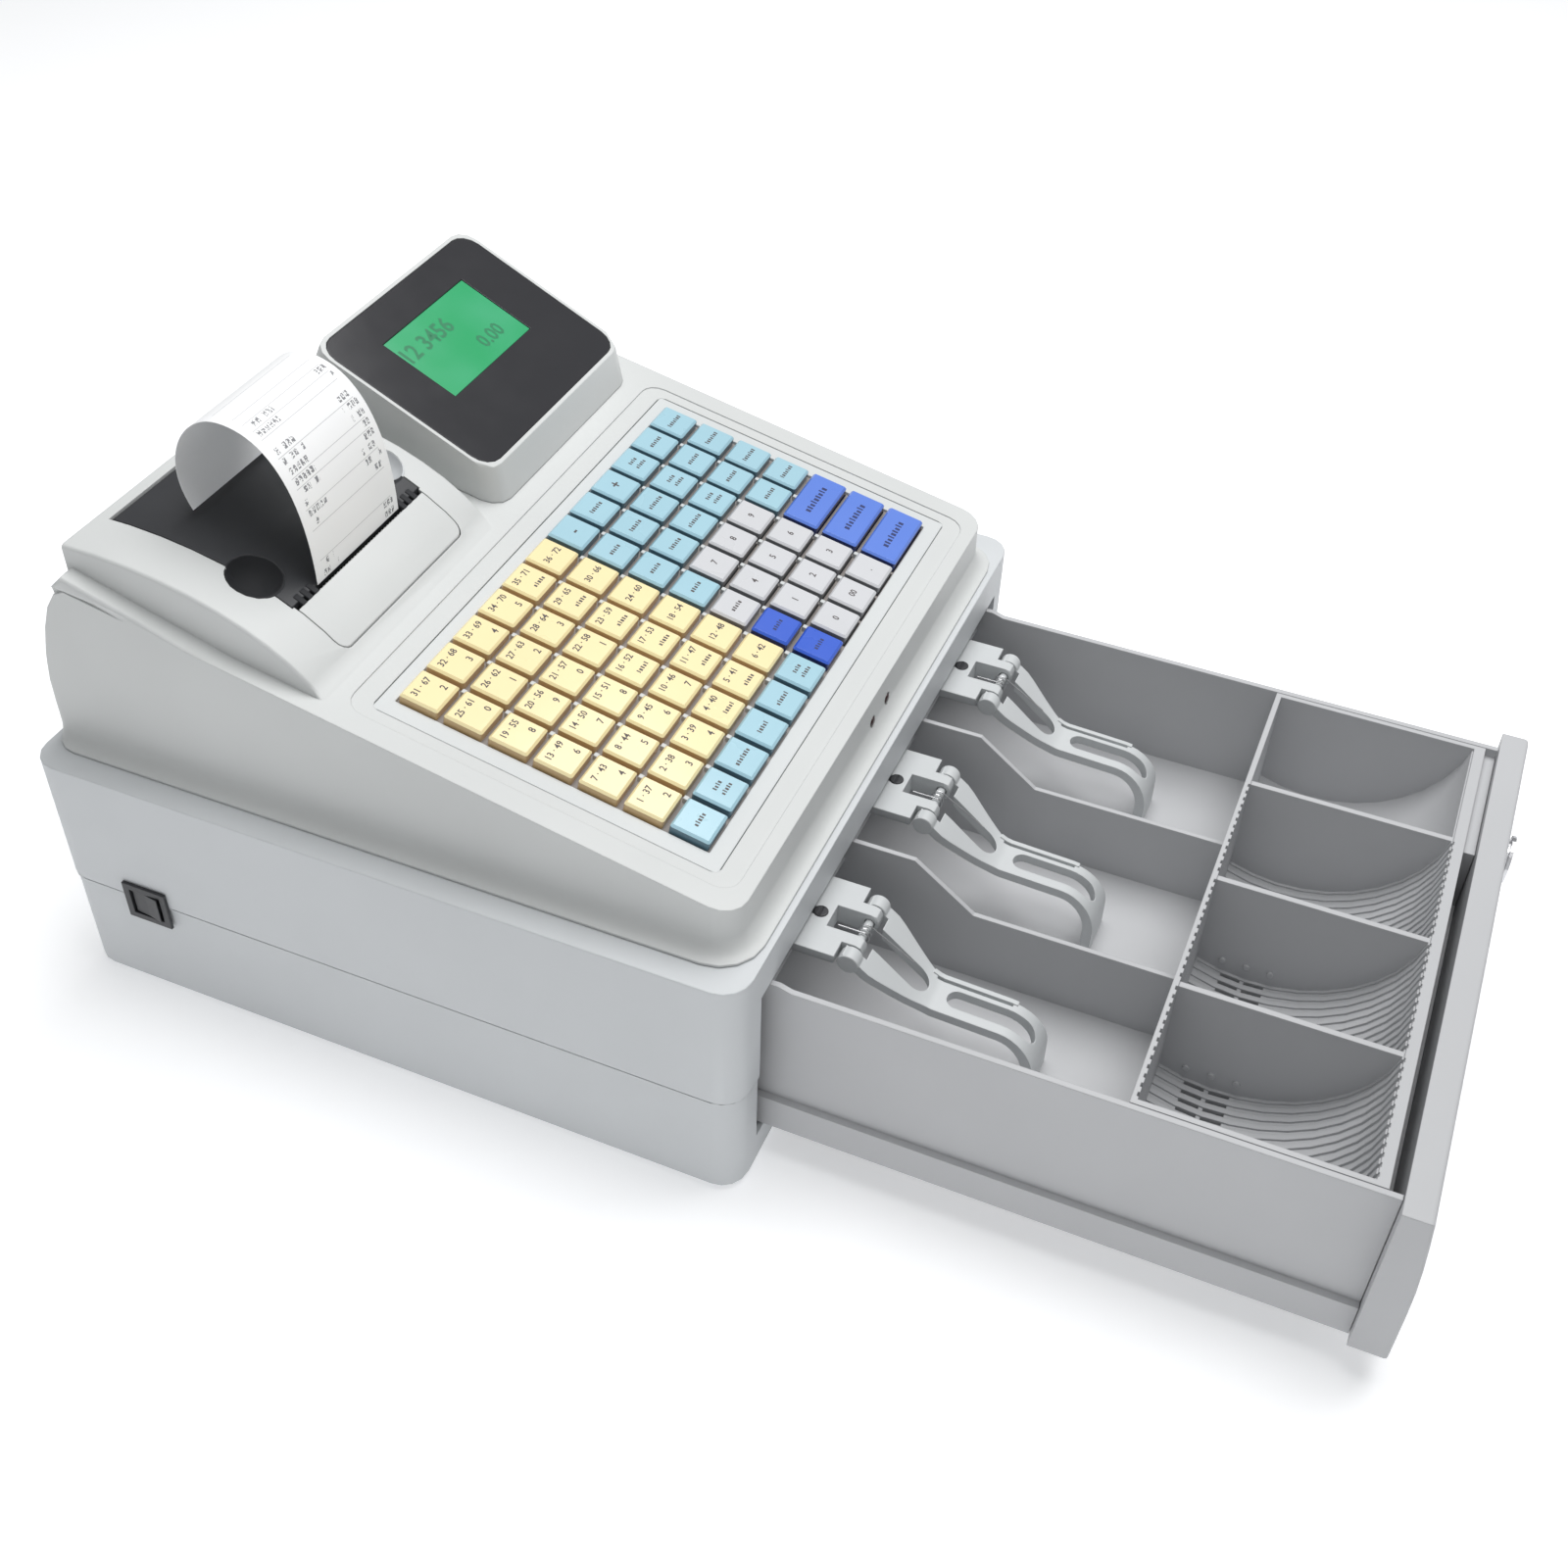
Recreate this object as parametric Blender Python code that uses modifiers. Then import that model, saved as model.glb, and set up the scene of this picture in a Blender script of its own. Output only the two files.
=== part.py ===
# Ticket register: a countertop cash register with keyboard, printer, display and a cash drawer.
# Metres, +Z up. X runs across the machine, -Y points at the operator, the floor is Z = 0.
# The rest pose has the drawer pulled out, and the origin lies under the middle of the open machine.

from math import atan2, cos, hypot, pi, radians, sin, sqrt, tan

import bmesh
import bpy
from mathutils import Matrix, Vector

# Clearances and shared manufacturing sizes
SEAT_GAP = 0.0003
FIT_GAP = 0.0004
SLIDE_GAP = 0.0008
OVERRUN = 0.004
SINK = 0.001
WALL = 0.0028
SKIN = 0.0025

# Lower housing that holds the drawer
HOUSING_WIDTH = 0.3156
HOUSING_DEPTH = 0.3146
DECK_HEIGHT = 0.1156
HOUSING_CORNER = 0.012
FOOT_SHOW = 0.003
SEAM_HEIGHT = 0.052
SEAM_STEP = 0.0008
DECK_ROUND = 0.0024
PAN_ROUND = 0.004
FOOT_RADIUS = 0.009
FOOT_INSET = 0.026
FOOT_PEG = 0.0025
CABLE_HOLE_WIDTH = 0.060
CABLE_HOLE_DEPTH = 0.030
CABLE_HOLE_BACK = 0.110

# Drawer
TRAVEL = 0.2455
TRAY_INSET = 0.0289
TRAY_BACK = 0.030
TRAY_LOW = 0.0155
TRAY_RIM = 0.0944
TRAY_WALL = 0.0025
SKIRT_GROW = 0.0029
SKIRT_TOP = 0.032
BILL_FLOOR = 0.0385
FLOOR_THICK = 0.0025
TRAY_FRONT_WALL = 0.0018
TRAY_FRONT_TOP = 0.060
STOP_LENGTH = 0.038
STOP_RAMP = 0.005
STOP_RISE = 0.0016
DIVIDER_SPACING = 0.0835
DIVIDER_THICK = 0.0022
DIVIDER_HIGH_END = -0.026
DIVIDER_LOW_END = -0.0528
DIVIDER_LOW_TOP = 0.074
CLIP_SHELF_FRONT = 0.004
CLIP_SHELF_THICK = 0.0025

# Drawer front panel
PANEL_INSET = 0.0211
PANEL_TOP = 0.0966
PANEL_LOW = 0.0152
PANEL_THICK = 0.0112
PANEL_BOW = 0.0036
PANEL_BOW_PLACE_SHARE = 0.35
PANEL_GAP = 0.0011
PANEL_ROUND = 0.0015
PANEL_STEPS = 6

# Drawer lock
LOCK_OFFSET = 0.092
LOCK_HEIGHT = 0.066
LOCK_RADIUS = 0.0085
LOCK_RIM_RADIUS = 0.0105
LOCK_RIM = 0.0015
LOCK_KEYWAY_LENGTH = 0.008
LOCK_KEYWAY_WIDTH = 0.0016
LOCK_KEYWAY_DEPTH = 0.006
LOCK_BLOCK_LEFT = 0.0602
LOCK_BLOCK_TOP = 0.090
LOCK_BLOCK_LOW = 0.048

# Coin tray
COIN_FRONT = 0.0050
COIN_DEPTH = 0.0915
COIN_WALL = 0.0024
COIN_DIVIDER = 0.0026
COIN_FRONT_WALL = 0.0046
COIN_CUPS = 4
SCOOP_RADIUS = 0.062
SCOOP_AXIS_RISE = 0.0106
SCOOP_AXIS_BACK = 0.0255
SCOOP_STEPS = 10
GROOVE_DEPTH = 0.0008
GROOVE_WIDTH = 0.0020
GROOVES_IN_CUP = 13
GROOVED_CUPS = 3
DIVIDER_DROP = 0.0012
SLOTTED_CUPS = 2
SLOT_ROWS = 4
SLOT_COLUMNS = 2
SLOT_LENGTH = 0.0082
SLOT_PITCH = 0.0100
SLOT_BACK = 0.0135
SLOT_REACH = 0.0100
PIP_COUNT = 3
PIP_RADIUS = 0.0014
PIP_PROUD = 0.0010
PIP_RISE = 0.0115
PIP_BACK = 0.0128

# Bill clips
CLIP_COUNT = 3
CLIP_BRACKET_WIDTH = 0.040
CLIP_BRACKET_HEIGHT = 0.009
CLIP_BRACKET_FRONT = -0.0155
CLIP_CHEEK_WIDTH = 0.023
CLIP_CHEEK_FRONT = -0.0240
CLIP_SLOT_WIDTH = 0.012
CLIP_SLOT_BACK = -0.007
CLIP_SCREW_RADIUS = 0.0022
CLIP_SCREW_Y = 0.0
CLIP_PIVOT_Y = -0.0205
CLIP_PIVOT_DROP = 0.0044
CLIP_PIN_RADIUS = 0.0019
CLIP_LUG_RADIUS = 0.0042
CLIP_FORK_WIDTH = 0.035
CLIP_FORK_END = -0.034
CLIP_WAIST_Y = -0.052
CLIP_TONGUE_WIDTH = 0.0194
CLIP_FORK_SLOT_END = -0.0465
CLIP_FOOT_Y = -0.0965
CLIP_TONGUE_TOP = 0.0700
CLIP_TONGUE_THICK = 0.0050
CLIP_FOOT_THICK = 0.0045
CLIP_FOOT_BEND = 0.0150
CLIP_WINDOW_WIDTH = 0.0104
CLIP_WINDOW_BACK = -0.0570
CLIP_WINDOW_FRONT = -0.0890
CLIP_LUG_STEPS = 8
CLIP_BEND_STEPS = 4

# Torsion springs of the bill clips
SPRING_WIRE = 0.0007
SPRING_COIL_RADIUS = 0.0028
SPRING_TURNS = 3
SPRING_PITCH = 0.0016
SPRING_POINTS_PER_TURN = 10
SPRING_FRONT_LEG = 0.0230
SPRING_BACK_LEG = 0.0100

# Upper case
CASE_INSET = 0.0178
CASE_TOP_FRONT = 0.0097
CASE_TOP_HEIGHT = 0.0215
CASE_TILT = radians(11.8)
CASE_BACK_TOP = 0.2880
CASE_BACK_SHOULDER = 0.3010
CASE_BACK_BULGE = 0.3110
CASE_BACK_BULGE_HEIGHT = 0.0330
CASE_BACK_LOW = 0.3120
CASE_BACK_STEPS = 7
CASE_EDGE = 0.0016
CASE_CORNER = 0.0110
CASE_CORNER_STEPS = 4
CASE_REAR_CORNER = 0.0050
FOOT_SWEEP = 0.0070
FOOT_SWEEP_STEPS = 5
FOOT_LIP = 0.0010
CASE_LINE_LEFT = 0.0280
CASE_LINE_FRONT = 0.0062
CASE_LINE_BACK = 0.1690
CASE_LINE_CORNER = 0.0080
CASE_LINE_WIDTH = 0.0007
CASE_LINE_DEPTH = 0.0005

# Raised printer arch on the left of the case
ARCH_LEFT = 0.0255
ARCH_RIGHT = 0.1520
ARCH_FRONT_Y = 0.1810
ARCH_FRONT_Z = 0.0571
ARCH_HANDLE_Y = 0.1970
ARCH_HANDLE_Z = 0.0804
ARCH_CREST_Y = 0.2400
ARCH_CREST_Z = 0.0969
ARCH_BACK_Y = 0.2905
ARCH_BACK_Z = 0.0956
ARCH_STEPS = 10
ARCH_ROOT = 0.0344
ARCH_EDGE = 0.0016

# The shoulder left of the arch, where the case edge lifts off the slope towards the back
SHOULDER_FRONT = 0.2200
SHOULDER_MIDDLE = 0.2568
SHOULDER_MIDDLE_HEIGHT = 0.0765
SHOULDER_BACK = 0.2880
SHOULDER_BACK_HEIGHT = 0.0862
SHOULDER_END = 0.2950
SHOULDER_END_HEIGHT = 0.0800
SHOULDER_ROOT = 0.0040

# Printer cover, paper door and its finger grips
PRINTER_IN = 0.0925
COVER_WIDTH = 0.0880
COVER_FRONT = 0.1862
COVER_BACK = 0.2042
COVER_LIP = 0.0026
COVER_CORNER = 0.0040
DOOR_WIDTH = 0.0900
DOOR_FRONT = 0.2064
DOOR_BACK = 0.2850
DOOR_SKIN = 0.0024
DOOR_GAP = 0.0005
GRIP_RADIUS = 0.0095
GRIP_PLACE = 0.2235
GRIP_REACH = 0.0080
GRIP_STEPS = 8
DOOR_EAR_THICK = 0.0030
DOOR_EAR_STEPS = 6
DOOR_BEAD = 0.0018
TRUNNION_RADIUS = 0.0010
TRUNNION_LENGTH = 0.0060
HINGE_BLOCK_DEPTH = 0.0090
HINGE_BLOCK_DROP = 0.0036

# Platen roller, print head, gears and motor
PLATEN_Y = 0.2120
PLATEN_Z = 0.0684
PLATEN_RADIUS = 0.0045
PLATEN_SHAFT_RADIUS = 0.0020
PAPER_WIDTH = 0.0575
GEAR_MODULE = 0.0005
PLATEN_TEETH = 18
MOTOR_TEETH = 16
GEAR_FACE = 0.0026
GEAR_TIP_SHARE = 0.85
GEAR_ROOT_SHARE = 1.25
TOOTH_TIP_SHARE = 0.16
TOOTH_ROOT_SHARE = 0.56
MOTOR_LEAN = radians(20.5)
MOTOR_RADIUS = 0.0090
MOTOR_LENGTH = 0.0150
MOTOR_SHAFT_RADIUS = 0.0012
MOTOR_FLANGE = 0.0016
HEAD_LENGTH = 0.0620
HEAD_WIDTH = 0.0110
HEAD_THICK = 0.0022
CHASSIS_WALL = 0.0022
CHASSIS_FRONT = 0.1940
CHASSIS_BACK = 0.2780
CHASSIS_TOP = 0.0584
SPACER_LOW = 0.0404
SPACER_HIGH = 0.0474
SPACER_FRONT = 0.2060
SPACER_BACK = 0.2260
ROLL_Y = 0.2500
ROLL_Z = 0.0564
ROLL_RADIUS = 0.0260
ROLL_CORE_RADIUS = 0.0062
ROLL_GAP = 0.0008

# Tear bar
TEAR_WIDTH = 0.0630
TEAR_HEIGHT = 0.0050
TEAR_TOOTH = 0.0008
TEAR_TEETH = 32
TEAR_THICK = 0.0006

# Printed receipt that curls back over the door
RECEIPT_THICK = 0.0005
RECEIPT_FOOT_Z = 0.0780
RECEIPT_RISE_Y = 0.2052
RECEIPT_RISE_Z = 0.1204
RECEIPT_CREST_Y = 0.2190
RECEIPT_TOP_Y = 0.2390
RECEIPT_TOP_Z = 0.1404
RECEIPT_OVER_Y = 0.2550
RECEIPT_BACK_Y = 0.2700
RECEIPT_BACK_Z = 0.1174
RECEIPT_END_Y = 0.2586
RECEIPT_END_Z = 0.0969
RECEIPT_STEPS = 8

# Keyboard
KEY_COLUMNS = 12
KEY_ROWS = 7
KEY_PITCH_X = 0.0194
KEY_PITCH_Y = 0.0191
KEY_SIZE_X = 0.0174
KEY_SIZE_Y = 0.0170
KEY_RISE = 0.0030
KEY_CHAMFER = 0.0014
KEY_TRAVEL = 0.0030
KEY_WELL_GAP = 0.0004
FRONT_ROW = 0.0310
OPENING_HALF_WIDTH = 0.1241
OPENING_FRONT = 0.0146
OPENING_BACK = 0.1606
OPENING_CORNER = 0.0030
MAT_BORDER = 0.0030
MAT_THICK = 0.0025
BOARD_THICK = 0.0016
BOARD_POST = 0.0050

# Display
DISPLAY_IN = 0.0912
DISPLAY_GLASS_WIDTH = 0.1177
DISPLAY_GLASS_LENGTH = 0.0864
DISPLAY_RIM = 0.0020
DISPLAY_TILT = radians(25.8)
DISPLAY_GLASS_Y = 0.1894
DISPLAY_GLASS_Z = 0.0757
DISPLAY_BASE = 0.1784
DISPLAY_BACK = 0.2860
DISPLAY_CORNER = 0.0090
DISPLAY_CORNER_STEPS = 4
GLASS_THICK = 0.0020
LCD_WIDTH = 0.0651
LCD_LENGTH = 0.0371
LCD_FRONT = 0.0325
LCD_SHIFT = -0.0015
LCD_THICK = 0.0050
LCD_DROP = 0.0003

# Indicator lamps in the front edge of the case
LAMP_COUNT = 2
LAMP_RADIUS = 0.0024
LAMP_X = 0.0145
LAMP_SPACING = 0.0166
LAMP_DROP = 0.0132
LAMP_PROUD = 0.0006
LAMP_BAR = 0.0020
LAMP_HOLE_GAP = 0.0003

# Mains switch, inlet, supply and boards
SWITCH_BACK = 0.2814
SWITCH_FRONT = 0.2602
SWITCH_LOW = 0.0416
SWITCH_HIGH = 0.0610
SWITCH_DEPTH = 0.0120
SWITCH_RIM = 0.0018
SWITCH_BEZEL = 0.0016
SWITCH_WALL = 0.0012
ROCKER_TILT = radians(9)
ROCKER_DEPTH = 0.0050
ROCKER_GAP = 0.0010
INLET_X = 0.0900
INLET_WIDTH = 0.0270
INLET_HEIGHT = 0.0200
INLET_FLOOR = 0.0240
INLET_DEPTH = 0.0180
INLET_FLANGE = 0.0030
INLET_POCKET = 0.0140
PRONG_WIDTH = 0.0020
PRONG_HEIGHT = 0.0045
PRONG_SPACING = 0.0070
SUPPLY_LEFT = 0.0300
SUPPLY_WIDTH = 0.0800
SUPPLY_FRONT = 0.2150
SUPPLY_DEPTH = 0.0700
SUPPLY_HEIGHT = 0.0420
SUPPLY_RIB = 0.0020
SUPPLY_RIBS = 6
MAIN_LEFT = -0.0200
MAIN_WIDTH = 0.1400
MAIN_FRONT = 0.1100
MAIN_DEPTH = 0.0800
MAIN_POST = 0.0050
CHIP_COUNT = 3
CHIP_SIZE = 0.0140
CHIP_THICK = 0.0018
CONNECTOR_LENGTH = 0.0300
CONNECTOR_WIDTH = 0.0060
CONNECTOR_HEIGHT = 0.0090

# Guide rails of the housing and the drawer latch
RAIL_WEB = 0.0032
RAIL_FLANGE = 0.0030
RAIL_FOOT_WIDTH = 0.0120
RAIL_START = 0.0140
RAIL_END = 0.2900
STRIKE_WIDTH = 0.0140
STRIKE_REACH = 0.0100
STRIKE_THICK = 0.0025
STRIKE_HEIGHT = 0.0300
STRIKE_LIP = 0.0040
LATCH_X = 0.0
LATCH_WIDTH = 0.0060
LATCH_PIVOT_BACK = 0.0160
LATCH_PIVOT_DROP = 0.0110
LATCH_PIN_RADIUS = 0.0020
LATCH_BAR = 0.0040
LATCH_SWING = radians(16)
SOLENOID_RIGHT = 0.0340
SOLENOID_LEFT = 0.0080
SOLENOID_REACH = 0.0160
SOLENOID_BASE = 0.0040
SOLENOID_CHEEK = 0.0025
SOLENOID_COIL_RADIUS = 0.0090
SOLENOID_COIL_LENGTH = 0.0200
SOLENOID_CORE_RADIUS = 0.0030
EJECTOR_X = 0.0700
EJECTOR_HEIGHT = 0.0500
EJECTOR_RADIUS = 0.0060
EJECTOR_WIRE = 0.0009
EJECTOR_LENGTH = 0.0345
EJECTOR_TURNS = 9
EJECTOR_BOSS_LENGTH = 0.0080

# Places worked out from the sizes above
FRONT_Y = (TRAVEL + PANEL_BOW - HOUSING_DEPTH) / 2
BACK_Y = FRONT_Y + HOUSING_DEPTH
LEFT_X = -HOUSING_WIDTH / 2
PRINTER_X = LEFT_X + PRINTER_IN
DISPLAY_X = -LEFT_X - DISPLAY_IN
TRAY_WIDTH = HOUSING_WIDTH - 2 * TRAY_INSET
PANEL_WIDTH = HOUSING_WIDTH - 2 * PANEL_INSET
FLOOR_Z = FOOT_SHOW
DECK_Z = FLOOR_Z + DECK_HEIGHT
SEAM_Z = FLOOR_Z + SEAM_HEIGHT
TRAY_FRONT_Y = FRONT_Y - TRAVEL + PANEL_THICK + SEAT_GAP
RAIL_TOP_Z = FLOOR_Z + SKIRT_TOP + SLIDE_GAP

PARTS = None
CUTTERS = None


def start_scene():
    global PARTS, CUTTERS
    for item in list(bpy.data.objects):
        bpy.data.objects.remove(item, do_unlink=True)
    PARTS = bpy.data.collections.new("ticket_register")
    CUTTERS = bpy.data.collections.new("cutters")
    bpy.context.scene.collection.children.link(PARTS)
    bpy.context.scene.collection.children.link(CUTTERS)


def deep(distance):
    return FRONT_Y + distance


def high(distance):
    return FLOOR_Z + distance


def above(distance):
    return DECK_Z + distance


def place(name, mesh):
    item = bpy.data.objects.new(name, mesh)
    PARTS.objects.link(item)
    return item


def finish_mesh(name, work):
    bmesh.ops.recalc_face_normals(work, faces=work.faces)
    mesh = bpy.data.meshes.new(name)
    work.to_mesh(mesh)
    work.free()
    return place(name, mesh)


def box(name, low, top):
    work = bmesh.new()
    middle = [(a + b) / 2 for a, b in zip(low, top)]
    size = [b - a for a, b in zip(low, top)]
    bmesh.ops.create_cube(work, size=1, matrix=Matrix.Translation(middle) @ Matrix.Diagonal((*size, 1)))
    return finish_mesh(name, work)


TURNS = {
    "X": Matrix(((0, 0, 1, 0), (1, 0, 0, 0), (0, 1, 0, 0), (0, 0, 0, 1))),
    "Y": Matrix(((1, 0, 0, 0), (0, 0, -1, 0), (0, 1, 0, 0), (0, 0, 0, 1))),
    "Z": Matrix.Identity(4),
}


def prism(name, outline, axis, low, top):
    """A flat outline pushed along an axis: (y, z) points along X, (x, z) along Y, (x, y) along Z."""
    curve = bpy.data.curves.new(name, "CURVE")
    curve.dimensions = "2D"
    curve.fill_mode = "BOTH"
    curve.extrude = (top - low) / 2
    spline = curve.splines.new("POLY")
    spline.points.add(len(outline) - 1)
    for point, (a, b) in zip(spline.points, outline):
        point.co = (a, b, 0, 1)
    spline.use_cyclic_u = True
    guide = bpy.data.objects.new(name + "_outline", curve)
    CUTTERS.objects.link(guide)
    middle = -(low + top) / 2 if axis == "Y" else (low + top) / 2
    guide.matrix_world = TURNS[axis] @ Matrix.Translation((0, 0, middle))
    return meshed(name, guide)


def meshed(name, guide):
    bpy.context.view_layer.update()
    mesh = bpy.data.meshes.new_from_object(guide.evaluated_get(bpy.context.evaluated_depsgraph_get()))
    mesh.transform(guide.matrix_world)
    work = bmesh.new()
    work.from_mesh(mesh)
    bmesh.ops.remove_doubles(work, verts=work.verts, dist=SEAT_GAP / 30)
    bpy.data.objects.remove(guide, do_unlink=True)
    bpy.data.meshes.remove(mesh)
    return finish_mesh(name, work)


def rod(name, radius, axis, low, top, centre, sides=24):
    """A round bar along an axis, centred on the other two coordinates."""
    work = bmesh.new()
    middle = (low + top) / 2
    spot = {"X": (middle, *centre), "Y": (centre[0], middle, centre[1]), "Z": (*centre, middle)}[axis]
    turn = TURNS[axis]
    bmesh.ops.create_cone(
        work,
        cap_ends=True,
        segments=sides,
        radius1=radius,
        radius2=radius,
        depth=top - low,
        matrix=Matrix.Translation(spot) @ turn,
    )
    return finish_mesh(name, work)


def wire(name, points, radius, resolution=1):
    curve = bpy.data.curves.new(name, "CURVE")
    curve.dimensions = "3D"
    curve.bevel_depth = radius
    curve.bevel_resolution = resolution
    curve.use_fill_caps = True
    spline = curve.splines.new("POLY")
    spline.points.add(len(points) - 1)
    for point, spot in zip(spline.points, points):
        point.co = (*spot, 1)
    guide = bpy.data.objects.new(name + "_path", curve)
    CUTTERS.objects.link(guide)
    return meshed(name, guide)


def hide(item):
    PARTS.objects.unlink(item)
    CUTTERS.objects.link(item)
    item.hide_render = True
    item.display_type = "WIRE"
    return item


def boolean(item, other, operation):
    change = item.modifiers.new(operation.lower(), "BOOLEAN")
    change.operation = operation
    change.solver = "EXACT"
    change.object = hide(other)
    return item


def cut(item, *others):
    for other in others:
        boolean(item, other, "DIFFERENCE")
    return item


def join(item, *others):
    for other in others:
        boolean(item, other, "UNION")
    return item


def common(item, other):
    return boolean(item, other, "INTERSECT")


def round_edges(item, width, chosen, segments=2):
    """Bevels the edges that the test picks by their two ends."""
    mesh = item.data
    weights = mesh.attributes.new("bevel_weight_edge", "FLOAT", "EDGE")
    for edge in mesh.edges:
        a, b = (mesh.vertices[v].co for v in edge.vertices)
        weights.data[edge.index].value = 1.0 if chosen(a, b) else 0.0
    bevel = item.modifiers.new("rounding", "BEVEL")
    bevel.limit_method = "WEIGHT"
    bevel.width = width
    bevel.segments = segments
    return item


def round_sharp(item, width, angle=radians(50), segments=2):
    """Bevels every edge that turns more than the angle."""
    bevel = item.modifiers.new("rounding", "BEVEL")
    bevel.limit_method = "ANGLE"
    bevel.angle_limit = angle
    bevel.width = width
    bevel.segments = segments
    return item


def smooth(item, angle=radians(30)):
    item.data.shade_smooth()
    item.data.set_sharp_from_angle(angle=angle)
    return item


def set_origin(item, point):
    item.data.transform(Matrix.Translation(-Vector(point)))
    item.location = point
    return item


def empty(name, location, tilt):
    item = bpy.data.objects.new(name, None)
    item.location = location
    item.rotation_euler = (tilt, 0, 0)
    CUTTERS.objects.link(item)
    return item


def paint(item, colour, roughness, metallic=0.0):
    material = bpy.data.materials.new(item.name + "_finish")
    material.use_nodes = True
    shader = material.node_tree.nodes["Principled BSDF"]
    shader.inputs["Base Color"].default_value = (*colour, 1)
    shader.inputs["Roughness"].default_value = roughness
    shader.inputs["Metallic"].default_value = metallic
    item.data.materials.clear()
    item.data.materials.append(material)
    return item


def case_grey(item):
    return paint(item, (0.62, 0.66, 0.66), 0.55)


def housing_grey(item):
    return paint(item, (0.46, 0.49, 0.51), 0.55)


def drawer_grey(item):
    return paint(item, (0.35, 0.37, 0.39), 0.6)


def black_plastic(item):
    return paint(item, (0.02, 0.02, 0.022), 0.45)


def steel(item):
    return paint(item, (0.55, 0.55, 0.56), 0.3, 1.0)


def board_green(item):
    return paint(item, (0.03, 0.16, 0.07), 0.5)


def rounded_outline(left, front, right, back, radius, steps=4):
    corners = (
        (right - radius, back - radius, 0),
        (left + radius, back - radius, pi / 2),
        (left + radius, front + radius, pi),
        (right - radius, front + radius, 3 * pi / 2),
    )
    points = []
    for x, y, start in corners:
        for step in range(steps + 1):
            angle = start + step / steps * pi / 2
            points.append((x + radius * cos(angle), y + radius * sin(angle)))
    return points


def shrunk(outline, distance):
    """The outline moved inwards by a distance, with its corners kept sharp."""
    count = len(outline)
    area = sum(outline[i - 1][0] * outline[i][1] - outline[i][0] * outline[i - 1][1] for i in range(count))
    side = 1 if area > 0 else -1
    edges = []
    for i in range(count):
        (ax, ay), (bx, by) = outline[i], outline[(i + 1) % count]
        length = hypot(bx - ax, by - ay)
        nx, ny = -(by - ay) / length * side, (bx - ax) / length * side
        edges.append((nx, ny, nx * ax + ny * ay + distance))
    points = []
    for i in range(count):
        ax, ay, ad = edges[i - 1]
        bx, by, bd = edges[i]
        span = ax * by - ay * bx
        points.append(((ad * by - ay * bd) / span, (ax * bd - ad * bx) / span))
    return points


def housing_outline(inset):
    return rounded_outline(
        LEFT_X + inset, FRONT_Y + inset, -LEFT_X - inset, BACK_Y - inset, HOUSING_CORNER - inset
    )


def drawer_opening(low, top):
    half = PANEL_WIDTH / 2 + PANEL_GAP
    return box("drawer_opening", (-half, FRONT_Y - OVERRUN, low), (half, deep(HOUSING_CORNER), top))


def switch_opening(name):
    gap = SEAT_GAP
    return box(
        name,
        (LEFT_X - OVERRUN, deep(SWITCH_FRONT + SWITCH_RIM) - gap, high(SWITCH_LOW + SWITCH_RIM) - gap),
        (LEFT_X + OVERRUN, deep(SWITCH_BACK - SWITCH_RIM) + gap, high(SWITCH_HIGH - SWITCH_RIM) + gap),
    )


def make_cabinet_cover():
    cover = prism("cabinet_cover", housing_outline(0), "Z", SEAM_Z + SEAT_GAP / 2, DECK_Z)
    round_edges(cover, DECK_ROUND, lambda a, b: min(a.z, b.z) > DECK_Z - SEAT_GAP, 3)
    inside = prism("cover_inside", housing_outline(WALL), "Z", SEAM_Z - OVERRUN, DECK_Z - WALL)
    cut(cover, inside, drawer_opening(SEAM_Z - OVERRUN, high(PANEL_TOP) + PANEL_GAP))
    cables = box(
        "cable_hole",
        (-CABLE_HOLE_WIDTH / 2, BACK_Y - CABLE_HOLE_BACK, DECK_Z - WALL - OVERRUN),
        (CABLE_HOLE_WIDTH / 2, BACK_Y - CABLE_HOLE_BACK + CABLE_HOLE_DEPTH, DECK_Z + OVERRUN),
    )
    cut(cover, cables, switch_opening("switch_hole_above"))
    return housing_grey(cover)


def rail_outline(side):
    """The channel that carries and holds down one edge of the drawer, seen from the front."""
    edge = TRAY_WIDTH / 2 + SKIRT_GROW + SLIDE_GAP
    lip = TRAY_WIDTH / 2 + SLIDE_GAP
    foot = edge - RAIL_FOOT_WIDTH
    tray = high(TRAY_LOW) - SEAT_GAP
    points = [
        (edge + RAIL_WEB, FLOOR_Z + WALL - SINK),
        (edge + RAIL_WEB, RAIL_TOP_Z + RAIL_FLANGE),
        (lip, RAIL_TOP_Z + RAIL_FLANGE),
        (lip, RAIL_TOP_Z),
        (edge, RAIL_TOP_Z),
        (edge, tray),
        (foot, tray),
        (foot, tray - RAIL_FLANGE),
        (edge, tray - RAIL_FLANGE),
        (edge, FLOOR_Z + WALL - SINK),
    ]
    return [(side * x, z) for x, z in points]


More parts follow.
